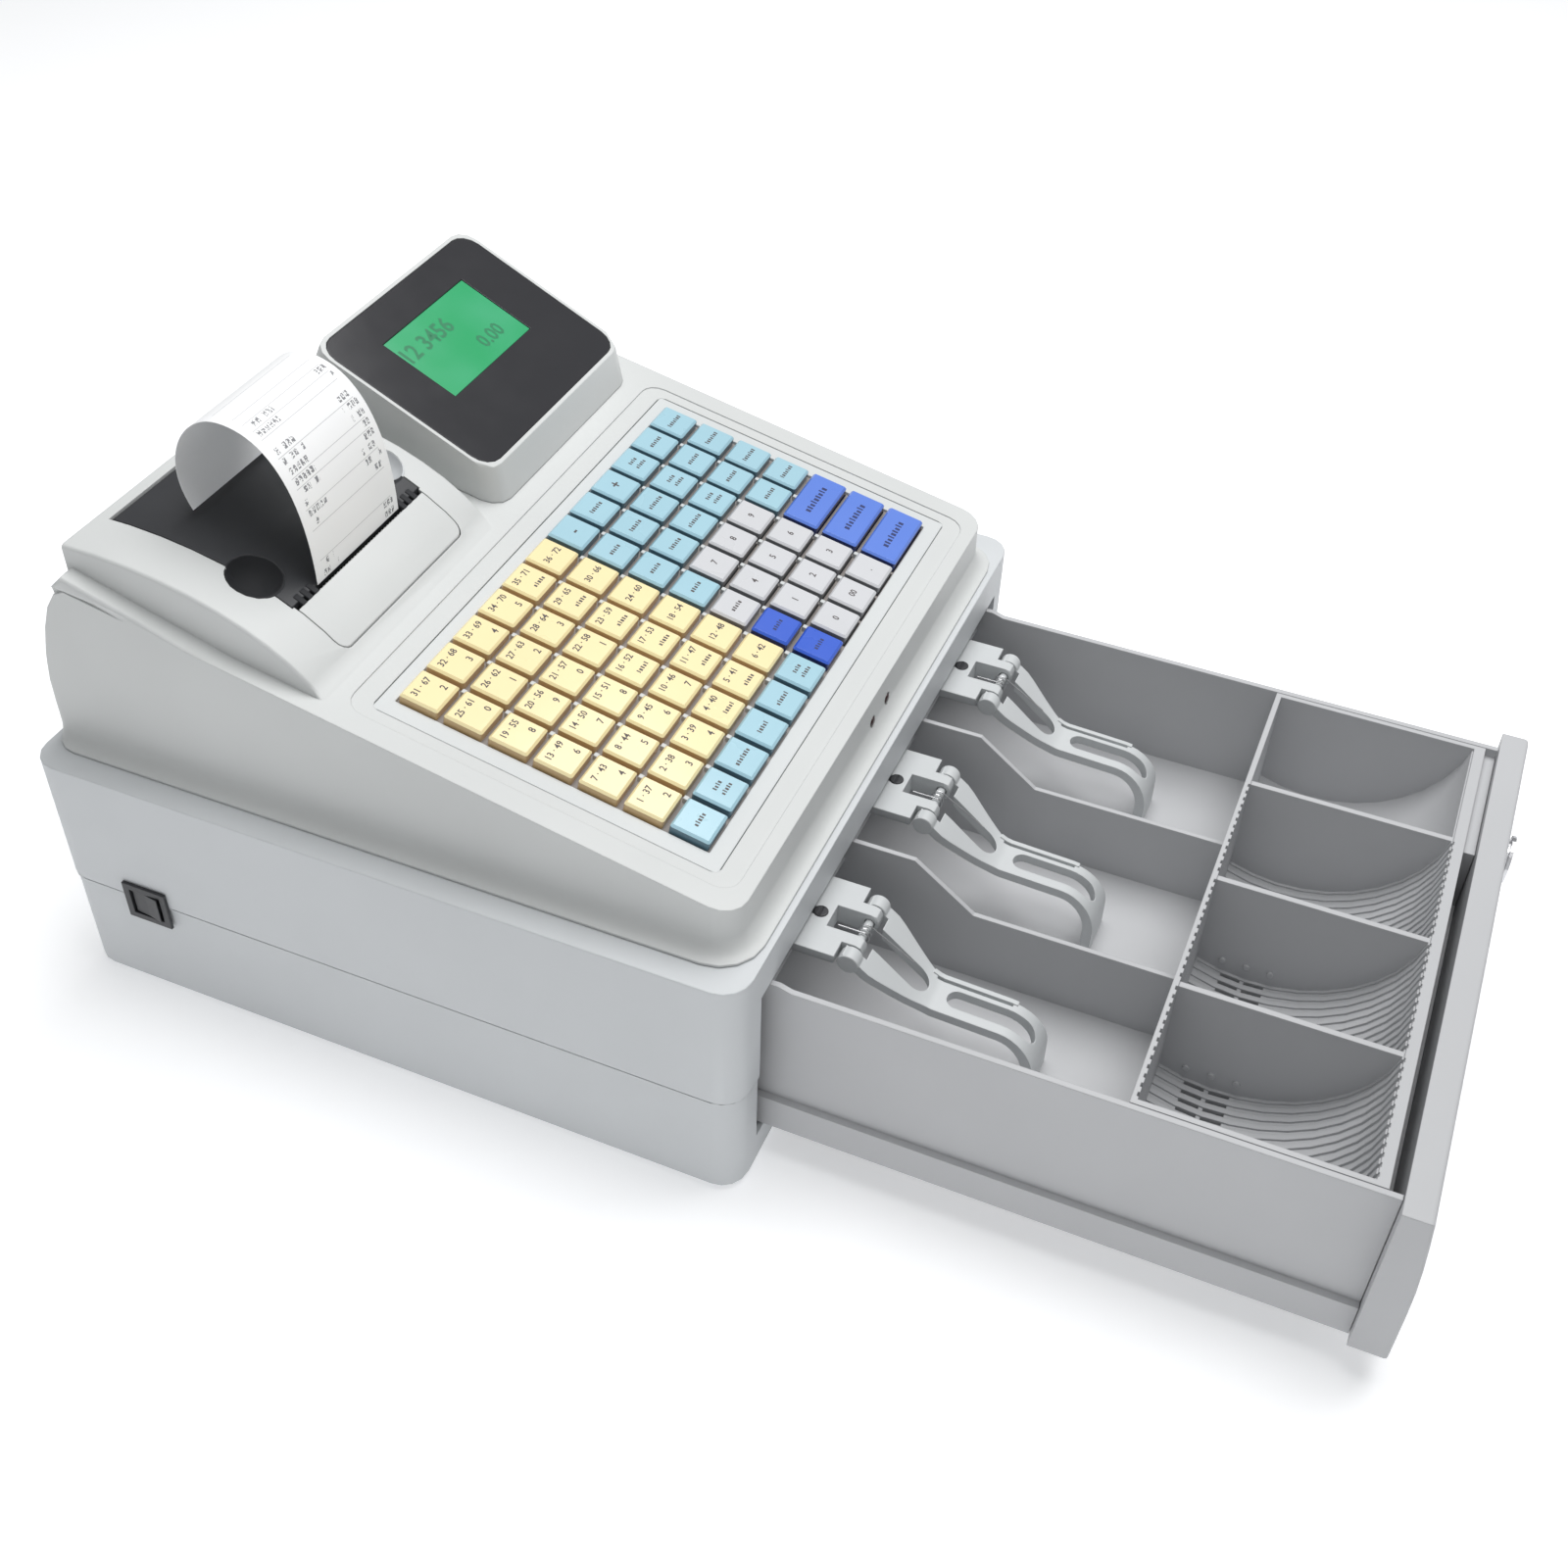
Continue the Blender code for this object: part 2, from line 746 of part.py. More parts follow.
def make_base_pan():
    pan = prism("base_pan", housing_outline(SEAM_STEP), "Z", FLOOR_Z, SEAM_Z - SEAT_GAP / 2)
    round_edges(pan, PAN_ROUND, lambda a, b: max(a.z, b.z) < FLOOR_Z + SEAT_GAP, 2)
    inside = prism("pan_inside", housing_outline(WALL), "Z", FLOOR_Z + WALL, SEAM_Z + OVERRUN)
    cut(pan, inside, drawer_opening(high(PANEL_LOW) - PANEL_GAP, SEAM_Z + OVERRUN))
    for side in (-1, 1):
        rail = prism(f"rail_{side}", rail_outline(side), "Y", deep(RAIL_START), deep(RAIL_END))
        join(pan, rail)
    cut(pan, switch_opening("switch_hole_below"), inlet_opening())
    boss = rod(
        "ejector_boss",
        EJECTOR_RADIUS - EJECTOR_WIRE - FIT_GAP,
        "Y",
        BACK_Y - WALL - EJECTOR_BOSS_LENGTH,
        BACK_Y - WALL / 2,
        (EJECTOR_X, high(EJECTOR_HEIGHT) - EJECTOR_RADIUS - SINK),
        12,
    )
    return housing_grey(join(pan, boss))


def inlet_opening():
    half = INLET_WIDTH / 2 - INLET_FLANGE + SEAT_GAP
    return box(
        "inlet_hole",
        (INLET_X - half, BACK_Y - OVERRUN, high(INLET_FLOOR + INLET_FLANGE) - SEAT_GAP),
        (INLET_X + half, BACK_Y + OVERRUN, high(INLET_FLOOR + INLET_HEIGHT - INLET_FLANGE) + SEAT_GAP),
    )


def make_feet():
    number = 0
    for x in (LEFT_X + FOOT_INSET, -LEFT_X - FOOT_INSET):
        for y in (FRONT_Y + FOOT_INSET, BACK_Y - FOOT_INSET):
            number += 1
            foot = rod(f"rubber_foot_{number}", FOOT_RADIUS, "Z", 0, FLOOR_Z - SEAT_GAP, (x, y), 20)
            round_edges(foot, FOOT_PEG / 4, lambda a, b: max(a.z, b.z) < SEAT_GAP, 1)
            paint(smooth(foot), (0.02, 0.02, 0.02), 0.8)


def tray_box(name, half, front, back, low, top):
    return box(name, (-half, front, low), (half, back, top))


def divider_outline():
    bottom = high(BILL_FLOOR) - SINK
    back = deep(TRAY_BACK) - TRAY_WALL / 2
    coin_back = TRAY_FRONT_Y + COIN_FRONT + COIN_DEPTH + FIT_GAP
    rim = high(TRAY_RIM)
    return [
        (coin_back, bottom),
        (back, bottom),
        (back, rim),
        (deep(DIVIDER_HIGH_END), rim),
        (deep(DIVIDER_LOW_END), high(DIVIDER_LOW_TOP)),
        (coin_back, high(DIVIDER_LOW_TOP)),
    ]


def stop_outline():
    rim = high(TRAY_RIM)
    back = deep(TRAY_BACK)
    return [
        (back - STOP_LENGTH, rim - SINK),
        (back, rim - SINK),
        (back, rim + STOP_RISE),
        (back - STOP_LENGTH + STOP_RAMP, rim + STOP_RISE),
        (back - STOP_LENGTH, rim),
    ]


def strike_outline():
    back = deep(TRAY_BACK)
    low = high(STRIKE_HEIGHT)
    reach = back + STRIKE_REACH
    return [
        (back - TRAY_WALL / 2, low),
        (reach, low),
        (reach, low - STRIKE_LIP),
        (reach + STRIKE_THICK, low - STRIKE_LIP),
        (reach + STRIKE_THICK, low + STRIKE_THICK),
        (back - TRAY_WALL / 2, low + STRIKE_THICK),
    ]


def make_drawer_tray():
    half = TRAY_WIDTH / 2
    front = TRAY_FRONT_Y
    back = deep(TRAY_BACK)
    rim = high(TRAY_RIM)
    low = high(TRAY_LOW)
    floor = high(BILL_FLOOR)
    tray = tray_box("drawer_tray", half, front, back, low, rim)
    join(tray, tray_box("tray_skirt", half + SKIRT_GROW, front, back, low, high(SKIRT_TOP)))
    inner = half - TRAY_WALL
    cut(
        tray,
        tray_box("tray_space", inner, front + TRAY_FRONT_WALL, back - TRAY_WALL, floor, rim + OVERRUN),
        tray_box("tray_slot", inner, front - OVERRUN, front + OVERRUN, high(TRAY_FRONT_TOP), rim + OVERRUN),
        tray_box(
            "tray_under", inner, front + TRAY_WALL, back - TRAY_WALL, low - OVERRUN, floor - FLOOR_THICK
        ),
    )
    for side in (-1, 1):
        x = side * DIVIDER_SPACING / 2
        ends = (x - DIVIDER_THICK / 2, x + DIVIDER_THICK / 2)
        divider = prism(f"bill_divider_{side}", divider_outline(), "X", *ends)
        outer = side * half
        rim_ends = sorted((outer, outer - side * TRAY_WALL))
        stop = prism(f"drawer_stop_{side}", stop_outline(), "X", *rim_ends)
        join(tray, divider, stop)
    shelf_top = rim - CLIP_BRACKET_HEIGHT - SEAT_GAP
    shelf = box(
        "clip_shelf",
        (-half + TRAY_WALL / 2, deep(CLIP_SHELF_FRONT), shelf_top - CLIP_SHELF_THICK),
        (half - TRAY_WALL / 2, back - TRAY_WALL / 2, shelf_top),
    )
    block = box(
        "lock_block",
        (LOCK_BLOCK_LEFT, front, high(LOCK_BLOCK_LOW)),
        (half - TRAY_WALL / 2, front + COIN_FRONT - FIT_GAP, high(LOCK_BLOCK_TOP)),
    )
    strike = prism(
        "drawer_strike", strike_outline(), "X", LATCH_X - STRIKE_WIDTH / 2, LATCH_X + STRIKE_WIDTH / 2
    )
    join(tray, shelf, block, strike)
    bore = rod(
        "lock_bore",
        LOCK_RADIUS + FIT_GAP,
        "Y",
        front - OVERRUN,
        front + COIN_FRONT - FIT_GAP - WALL / 2,
        (LOCK_OFFSET, high(LOCK_HEIGHT)),
    )
    return drawer_grey(cut(tray, bore))


def panel_outline():
    """The drawer front seen from its end: flat behind, gently bowed in front."""
    back = TRAY_FRONT_Y - SEAT_GAP
    front = back - PANEL_THICK
    top = high(PANEL_TOP)
    low = high(PANEL_LOW)
    points = [(back, low), (back, top)]
    for step in range(PANEL_STEPS + 1):
        share = step / PANEL_STEPS
        bow = PANEL_BOW * sin(pi / 2 * min(1, share / (1 - PANEL_BOW_PLACE_SHARE)))
        points.append((front - bow, top + (low - top) * share))
    return points


def make_drawer_front():
    half = PANEL_WIDTH / 2
    panel = prism("drawer_front", panel_outline(), "X", -half, half)
    front = TRAY_FRONT_Y - PANEL_THICK
    top = high(PANEL_TOP) - SEAT_GAP
    round_edges(
        panel,
        PANEL_ROUND,
        lambda a, b: (a.z > top and b.z > top and a.y < front and b.y < front)
        or (abs(abs(a.x) - half) < SEAT_GAP and abs(a.x - b.x) < SEAT_GAP and a.y < front and b.y < front),
    )
    bore = rod(
        "lock_hole",
        LOCK_RADIUS + FIT_GAP,
        "Y",
        TRAY_FRONT_Y - PANEL_THICK - PANEL_BOW - OVERRUN,
        TRAY_FRONT_Y + OVERRUN,
        (LOCK_OFFSET, high(LOCK_HEIGHT)),
    )
    return drawer_grey(cut(panel, bore))


def make_lock_barrel():
    face = TRAY_FRONT_Y - SEAT_GAP - PANEL_THICK - PANEL_BOW - SEAT_GAP
    centre = (LOCK_OFFSET, high(LOCK_HEIGHT))
    end = TRAY_FRONT_Y + TRAY_FRONT_WALL
    barrel = rod("lock_barrel", LOCK_RADIUS, "Y", face - LOCK_RIM / 2, end, centre, 24)
    join(barrel, rod("lock_rim", LOCK_RIM_RADIUS, "Y", face - LOCK_RIM, face, centre, 24))
    keyway = box(
        "keyway",
        (LOCK_OFFSET - LOCK_KEYWAY_WIDTH / 2, face - LOCK_RIM - OVERRUN, centre[1] - LOCK_KEYWAY_LENGTH / 2),
        (LOCK_OFFSET + LOCK_KEYWAY_WIDTH / 2, face + LOCK_KEYWAY_DEPTH, centre[1] + LOCK_KEYWAY_LENGTH / 2),
    )
    set_origin(cut(barrel, keyway), (LOCK_OFFSET, face, centre[1]))
    return steel(smooth(barrel))


def scoop_outline(front, grow):
    """The cup's section: an upright back wall and a round floor that climbs to the front rim."""
    rim = high(TRAY_RIM)
    axis_y = front + COIN_DEPTH - SCOOP_AXIS_BACK
    axis_z = rim + SCOOP_AXIS_RISE
    radius = SCOOP_RADIUS + grow
    back = front + COIN_DEPTH - COIN_WALL + grow
    first = atan2(-sqrt(radius**2 - (back - axis_y) ** 2), back - axis_y)
    last = -pi + atan2(SCOOP_AXIS_RISE, sqrt(radius**2 - SCOOP_AXIS_RISE**2))
    points = []
    for step in range(SCOOP_STEPS + 1):
        angle = first + (last - first) * step / SCOOP_STEPS
        points.append((axis_y + radius * cos(angle), axis_z + radius * sin(angle)))
    return points + [(points[-1][0], rim + OVERRUN), (back, rim + OVERRUN)]


def make_coin_tray():
    half = TRAY_WIDTH / 2 - TRAY_WALL - FIT_GAP
    front = TRAY_FRONT_Y + COIN_FRONT
    back = front + COIN_DEPTH
    low = high(BILL_FLOOR) + SEAT_GAP
    rim = high(TRAY_RIM)
    tray = box("coin_tray", (-half, front, low), (half, back, rim))
    cup = (2 * half - 2 * COIN_WALL - (COIN_CUPS - 1) * COIN_DIVIDER) / COIN_CUPS
    drop = box(
        "divider_drop",
        (-half + COIN_WALL, front + COIN_FRONT_WALL, rim - DIVIDER_DROP),
        (half - COIN_WALL, back - COIN_WALL, rim + OVERRUN),
    )
    cut(tray, drop)
    for number in range(COIN_CUPS):
        left = -half + COIN_WALL + number * (cup + COIN_DIVIDER)
        cut(tray, prism(f"coin_cup_{number}", scoop_outline(front, 0), "X", left, left + cup))
        if number < GROOVED_CUPS:
            cut(tray, cup_grooves(f"cup_grooves_{number}", front, left, cup))
        cut(tray, prism(f"cup_under_{number}", under_outline(front, low, rim), "X", left, left + cup))
        if number < SLOTTED_CUPS:
            cut(tray, cup_slots(f"cup_slots_{number}", back, low, left, cup))
            join(tray, *cup_pips(back, low, left + cup))
    return drawer_grey(tray)


def cup_grooves(name, front, left, cup):
    pitch = cup / GROOVES_IN_CUP
    grooves = None
    outline = scoop_outline(front, GROOVE_DEPTH)
    for number in range(GROOVES_IN_CUP):
        x = left + pitch * (number + 1 / 2)
        groove = prism(f"{name}_{number}", outline, "X", x - GROOVE_WIDTH / 2, x + GROOVE_WIDTH / 2)
        grooves = groove if grooves is None else merged(grooves, groove)
    return grooves


def cup_slots(name, back, low, left, cup):
    """Two columns of slots through the grooves beside the right wall of a cup."""
    pitch = cup / GROOVES_IN_CUP
    slots = None
    for row in range(SLOT_ROWS):
        x = left + cup - pitch * (row + 1 / 2)
        for column in range(SLOT_COLUMNS):
            end = back - SLOT_BACK - SLOT_PITCH * column
            slot = box(
                f"{name}_{row}_{column}",
                (x - GROOVE_WIDTH / 2, end - SLOT_LENGTH, low - OVERRUN),
                (x + GROOVE_WIDTH / 2, end, low + SLOT_REACH),
            )
            slots = slot if slots is None else merged(slots, slot)
    return slots


def cup_pips(back, low, wall):
    """Three small pips on the right wall of a cup, above its slots."""
    pips = []
    for number in range(PIP_COUNT):
        spot = (back - PIP_BACK - SLOT_PITCH * number, low + PIP_RISE)
        pips.append(rod("cup_pip", PIP_RADIUS, "X", wall - PIP_PROUD, wall + PIP_PROUD, spot, 10))
    return pips


def merged(item, other):
    """Both meshes in one cutter. They don't touch each other."""
    work = bmesh.new()
    work.from_mesh(item.data)
    work.from_mesh(other.data)
    work.to_mesh(item.data)
    work.free()
    bpy.data.objects.remove(other, do_unlink=True)
    return item


def under_outline(front, low, rim):
    """The hollow below a cup, which leaves a floor of even thickness."""
    axis_y = front + COIN_DEPTH - SCOOP_AXIS_BACK
    axis_z = rim + SCOOP_AXIS_RISE
    radius = SCOOP_RADIUS + GROOVE_DEPTH + COIN_WALL
    start = front + COIN_FRONT_WALL + GROOVE_DEPTH
    first = atan2(-sqrt(radius**2 - (start - axis_y) ** 2), start - axis_y)
    reach = low + COIN_WALL - axis_z
    last = atan2(reach, -sqrt(radius**2 - reach**2))
    points = []
    for step in range(SCOOP_STEPS + 1):
        angle = first + (last - first) * step / SCOOP_STEPS
        points.append((axis_y + radius * cos(angle), axis_z + radius * sin(angle)))
    return points + [(points[-1][0], low - OVERRUN), (start, low - OVERRUN)]


def clip_places():
    for number in range(CLIP_COUNT):
        yield number + 1, (number - (CLIP_COUNT - 1) / 2) * (DIVIDER_SPACING + DIVIDER_THICK / 2)


def make_clip_bracket(number, x):
    rim = high(TRAY_RIM)
    low = rim - CLIP_BRACKET_HEIGHT
    half = CLIP_BRACKET_WIDTH / 2
    cheek = CLIP_CHEEK_WIDTH / 2
    slot = CLIP_SLOT_WIDTH / 2
    back = deep(TRAY_BACK) - TRAY_WALL - SEAT_GAP
    front = deep(CLIP_BRACKET_FRONT)
    nose = deep(CLIP_CHEEK_FRONT)
    outline = [
        (x - half, back),
        (x - half, front),
        (x - cheek, front),
        (x - cheek, nose),
        (x - slot, nose),
        (x - slot, deep(CLIP_SLOT_BACK)),
        (x + slot, deep(CLIP_SLOT_BACK)),
        (x + slot, nose),
        (x + cheek, nose),
        (x + cheek, front),
        (x + half, front),
        (x + half, back),
    ]
    bracket = prism(f"clip_bracket_{number}", outline, "Z", low, rim)
    round_edges(
        bracket,
        CLIP_BRACKET_HEIGHT / 3,
        lambda a, b: max(abs(a.y - nose), abs(b.y - nose), abs(a.z - b.z)) < SEAT_GAP,
    )
    pivot = (deep(CLIP_PIVOT_Y), rim - CLIP_PIVOT_DROP)
    bore = rod(f"clip_bore_{number}", CLIP_PIN_RADIUS + SEAT_GAP, "X", x - half, x + half, pivot, 16)
    screw = rod(
        f"clip_screw_hole_{number}",
        CLIP_SCREW_RADIUS,
        "Z",
        low - OVERRUN,
        rim + OVERRUN,
        (x, deep(CLIP_SCREW_Y)),
        16,
    )
    return paint(cut(bracket, bore, screw), (0.58, 0.61, 0.61), 0.5)


def clip_side_outline():
    """The arm from the side: a lug on the pin, a drop to the tongue, and a foot that bends down."""
    pivot = Vector((deep(CLIP_PIVOT_Y), high(TRAY_RIM) - CLIP_PIVOT_DROP))
    tongue = high(CLIP_TONGUE_TOP)
    waist = deep(CLIP_WAIST_Y)
    foot = deep(CLIP_FOOT_Y)
    floor = high(BILL_FLOOR) + SEAT_GAP
    slope = Vector((waist, tongue)) - pivot
    away = Vector((slope.y, -slope.x)).normalized()
    away = away if away.y > 0 else -away
    start = atan2(away.y, away.x)
    points = []
    for step in range(CLIP_LUG_STEPS + 1):
        angle = start - step / CLIP_LUG_STEPS * pi
        points.append((pivot.x + CLIP_LUG_RADIUS * cos(angle), pivot.y + CLIP_LUG_RADIUS * sin(angle)))
    points.append((waist, tongue - CLIP_TONGUE_THICK))
    inner = foot + CLIP_FOOT_THICK
    bend = CLIP_FOOT_BEND - CLIP_FOOT_THICK
    centre = (foot + CLIP_FOOT_BEND, tongue - CLIP_FOOT_BEND)
    for step in range(CLIP_BEND_STEPS + 1):
        angle = pi / 2 + step / CLIP_BEND_STEPS * pi / 2
        points.append((centre[0] + bend * cos(angle), centre[1] + bend * sin(angle)))
    points += [(inner, floor), (foot, floor)]
    for step in range(CLIP_BEND_STEPS + 1):
        angle = pi - step / CLIP_BEND_STEPS * pi / 2
        points.append((centre[0] + CLIP_FOOT_BEND * cos(angle), centre[1] + CLIP_FOOT_BEND * sin(angle)))
    points.append((waist, tongue))
    return points


def clip_plan_outline(x):
    """The arm from above: a fork that narrows to the tongue."""
    fork = CLIP_FORK_WIDTH / 2
    tongue = CLIP_TONGUE_WIDTH / 2
    cheek = CLIP_CHEEK_WIDTH / 2 + FIT_GAP
    slot = CLIP_SLOT_WIDTH / 2
    back = deep(CLIP_PIVOT_Y) + CLIP_LUG_RADIUS + OVERRUN
    step_y = deep(CLIP_CHEEK_FRONT) - CLIP_LUG_RADIUS / 2
    half = [
        (fork, back),
        (fork, deep(CLIP_FORK_END)),
        (tongue, deep(CLIP_WAIST_Y)),
        (tongue, deep(CLIP_FOOT_Y) - OVERRUN),
    ]
    inner = [
        (cheek, back),
        (cheek, step_y),
        (slot, step_y - (cheek - slot)),
        (slot, deep(CLIP_FORK_SLOT_END) + slot / 2),
        (slot / 2, deep(CLIP_FORK_SLOT_END)),
    ]
    right = [(x + a, b) for a, b in half]
    left = [(x - a, b) for a, b in reversed(half)]
    inner_left = [(x - a, b) for a, b in inner]
    inner_right = [(x + a, b) for a, b in reversed(inner)]
    return right + left + inner_left + inner_right


def make_clip_arm(number, x):
    fork = CLIP_FORK_WIDTH / 2
    rim = high(TRAY_RIM)
    pivot = (deep(CLIP_PIVOT_Y), rim - CLIP_PIVOT_DROP)
    arm = prism(f"bill_clip_{number}", clip_side_outline(), "X", x - fork, x + fork)
    low = high(BILL_FLOOR) - OVERRUN
    plan = prism(f"clip_plan_{number}", clip_plan_outline(x), "Z", low, rim + OVERRUN)
    common(arm, plan)
    window = prism(
        f"clip_window_{number}",
        rounded_outline(
            x - CLIP_WINDOW_WIDTH / 2,
            deep(CLIP_WINDOW_FRONT),
            x + CLIP_WINDOW_WIDTH / 2,
            deep(CLIP_WINDOW_BACK),
            CLIP_WINDOW_WIDTH / 3,
            2,
        ),
        "Z",
        high(CLIP_TONGUE_TOP) - CLIP_FOOT_BEND,
        rim,
    )
    cut(arm, window)
    inner = CLIP_CHEEK_WIDTH / 2 + FIT_GAP
    pin = rod(f"clip_pin_{number}", CLIP_PIN_RADIUS, "X", x - inner - SINK, x + inner + SINK, pivot, 12)
    join(arm, pin)
    set_origin(arm, (x, *pivot))
    return paint(arm, (0.58, 0.61, 0.61), 0.5)


def torsion_path(x):
    """A torsion spring round the pin: a back leg, close turns and a front leg along the fork."""
    pivot = Vector((deep(CLIP_PIVOT_Y), high(TRAY_RIM) - CLIP_PIVOT_DROP))
    width = SPRING_TURNS * SPRING_PITCH
    lean = atan2(high(CLIP_TONGUE_TOP) - pivot.y, deep(CLIP_WAIST_Y) - pivot.x)
    front_angle = lean - pi / 2
    points = []
    total = SPRING_TURNS * SPRING_POINTS_PER_TURN
    for step in range(total + 1):
        angle = pi / 2 + (front_angle - pi / 2 + 2 * pi * SPRING_TURNS) * step / total
        points.append(
            (
                x - width / 2 + width * step / total,
                pivot.x + SPRING_COIL_RADIUS * cos(angle),
                pivot.y + SPRING_COIL_RADIUS * sin(angle),
            )
        )
    first = points[0]
    last = points[-1]
    ahead = (cos(lean), sin(lean))
    points.insert(0, (first[0], first[1] + SPRING_BACK_LEG, first[2]))
    points.append(
        (last[0], last[1] + SPRING_FRONT_LEG * ahead[0], last[2] + SPRING_FRONT_LEG * ahead[1])
    )
    return points


def make_clip_spring(number, x):
    path = torsion_path(x)
    spring = wire(f"clip_spring_{number}", path, SPRING_WIRE / 2)
    set_origin(spring, (x, deep(CLIP_PIVOT_Y), high(TRAY_RIM) - CLIP_PIVOT_DROP))
    report_gap(f"clip_spring_{number}", path, SPRING_WIRE)
    return steel(smooth(spring))


def report_gap(name, path, thickness):
    """Prints the least distance between stretches of a wire that aren't neighbours, less its thickness."""
    finest = min((Vector(a) - Vector(b)).length for a, b in zip(path, path[1:]))
    apart = int(SPRING_POINTS_PER_TURN / 2)
    least = min(
        (Vector(path[i]) - Vector(path[j])).length
        for i in range(len(path))
        for j in range(i + apart, len(path))
    )
    print(f"{name}: {least - thickness:.5f} m to itself, steps of {finest:.5f} m")


def slope_height(y):
    return CASE_TOP_HEIGHT + (y - CASE_TOP_FRONT) * tan(CASE_TILT)


def case_outline(inset):
    front = CASE_TOP_FRONT - FOOT_SWEEP - OVERRUN
    points = [(deep(front), DECK_Z + SEAT_GAP), (deep(front), above(slope_height(front)))]
    points += cubic(
        (CASE_BACK_TOP, slope_height(CASE_BACK_TOP)),
        (CASE_BACK_SHOULDER, slope_height(CASE_BACK_TOP)),
        (CASE_BACK_BULGE, CASE_BACK_BULGE_HEIGHT),
        (CASE_BACK_LOW, SEAT_GAP),
        CASE_BACK_STEPS,
    )
    drop = inset + OVERRUN
    foot = lengthened(points[0], points[1], drop)
    back = lengthened(points[-1], points[-2], drop)
    outline = [foot] + points[1:-1] + [back]
    return shrunk(outline, inset) if inset else outline


def lengthened(low, top, drop):
    """The lower end of a wall, moved down along the wall."""
    share = drop / (top[1] - low[1])
    return (low[0] + (low[0] - top[0]) * share, low[1] - drop)


def arch_curve():
    """The arch of the printer from its foot on the case to its back edge."""
    return cubic(
        (ARCH_FRONT_Y, ARCH_FRONT_Z),
        (ARCH_HANDLE_Y, ARCH_HANDLE_Z),
        (ARCH_CREST_Y, ARCH_CREST_Z),
        (ARCH_BACK_Y, ARCH_BACK_Z),
        ARCH_STEPS,
    )


def cubic(start, handle, other_handle, end, steps):
    """A cubic curve in the side view, given by depths and heights above the deck."""
    points = []
    for step in range(steps + 1):
        t = step / steps
        weights = ((1 - t) ** 3, 3 * t * (1 - t) ** 2, 3 * t * t * (1 - t), t**3)
        y = sum(w * p[0] for w, p in zip(weights, (start, handle, other_handle, end)))
        z = sum(w * p[1] for w, p in zip(weights, (start, handle, other_handle, end)))
        points.append((deep(y), above(z)))
    return points


def case_plan(grow, half, front, back):
    """The case from above: wide round corners in front and tighter ones at the back."""
    middle = (front + back) / 2
    limits = (-half - grow, front - grow, half + grow, back)
    wide = rounded_outline(*limits, CASE_CORNER + grow, CASE_CORNER_STEPS)
    tight = rounded_outline(*limits, CASE_REAR_CORNER + grow, CASE_CORNER_STEPS)
    return [p for p in tight if p[1] > middle] + [p for p in wide if p[1] < middle]


def plan_block(name, half, front, back, sweep):
    """The case from above as a tall block, whose walls sweep out onto the deck at the foot."""
    base = DECK_Z + SEAT_GAP + FOOT_LIP
    levels = [(sweep, DECK_Z - SKIN - 2 * OVERRUN)]
    for step in range(FOOT_SWEEP_STEPS + 1):
        angle = step / FOOT_SWEEP_STEPS * pi / 2
        levels.append((sweep * (1 - sin(angle)), base + FOOT_SWEEP * (1 - cos(angle))))
    levels.append((0, above(ARCH_CREST_Z)))
    work = bmesh.new()
    rings = []
    for grow, height in levels:
        rings.append([work.verts.new((x, y, height)) for x, y in case_plan(grow, half, front, back)])
    for low, top in zip(rings, rings[1:]):
        for i in range(len(low)):
            work.faces.new((low[i - 1], low[i], top[i], top[i - 1]))
    work.faces.new(rings[0])
    work.faces.new(rings[-1])
    return finish_mesh(name, work)


def shoulder(name, left):
    """The left edge of the case behind the keyboard, which rises beside the arch."""
    outline = [
        (SHOULDER_FRONT, slope_height(SHOULDER_FRONT)),
        (SHOULDER_MIDDLE, SHOULDER_MIDDLE_HEIGHT),
        (SHOULDER_BACK, SHOULDER_BACK_HEIGHT),
        (SHOULDER_END, SHOULDER_END_HEIGHT),
        (SHOULDER_BACK, slope_height(SHOULDER_FRONT) - SHOULDER_ROOT),
        (SHOULDER_FRONT, slope_height(SHOULDER_FRONT) - SHOULDER_ROOT),
    ]
    outline = [(deep(y), above(z)) for y, z in outline]
    item = prism(name, outline, "X", left, LEFT_X + ARCH_LEFT + SKIN)
    low = above(slope_height(SHOULDER_FRONT)) - SINK
    return round_edges(item, CASE_EDGE, lambda a, b: max(a.x, b.x) < left + SINK and min(a.z, b.z) > low, 2)


def arch_outline(inset):
    root = above(ARCH_ROOT)
    curve = arch_curve()
    back = (curve[-1][0], root)
    points = curve + [back, (curve[0][0], root)]
    return shrunk(points, inset) if inset else points


def below_arch(drop, front, back):
    """The arch curve between two depths, lowered by a distance square to itself."""
    curve = arch_curve()
    lowered = []
    for i in range(len(curve)):
        (ay, az), (by, bz) = curve[max(i - 1, 0)], curve[min(i + 1, len(curve) - 1)]
        length = hypot(by - ay, bz - az)
        lowered.append((curve[i][0] + (bz - az) / length * drop, curve[i][1] - (by - ay) / length * drop))
    inside = [p for p in lowered if front < p[0] < back]
    return [at_depth(lowered, front)] + inside + [at_depth(lowered, back)]


def at_depth(curve, y):
    for (ay, az), (by, bz) in zip(curve, curve[1:]):
        if ay <= y <= by:
            return (y, az + (bz - az) * (y - ay) / (by - ay))
    ay, az = curve[0] if y < curve[0][0] else curve[-1]
    return (y, az)


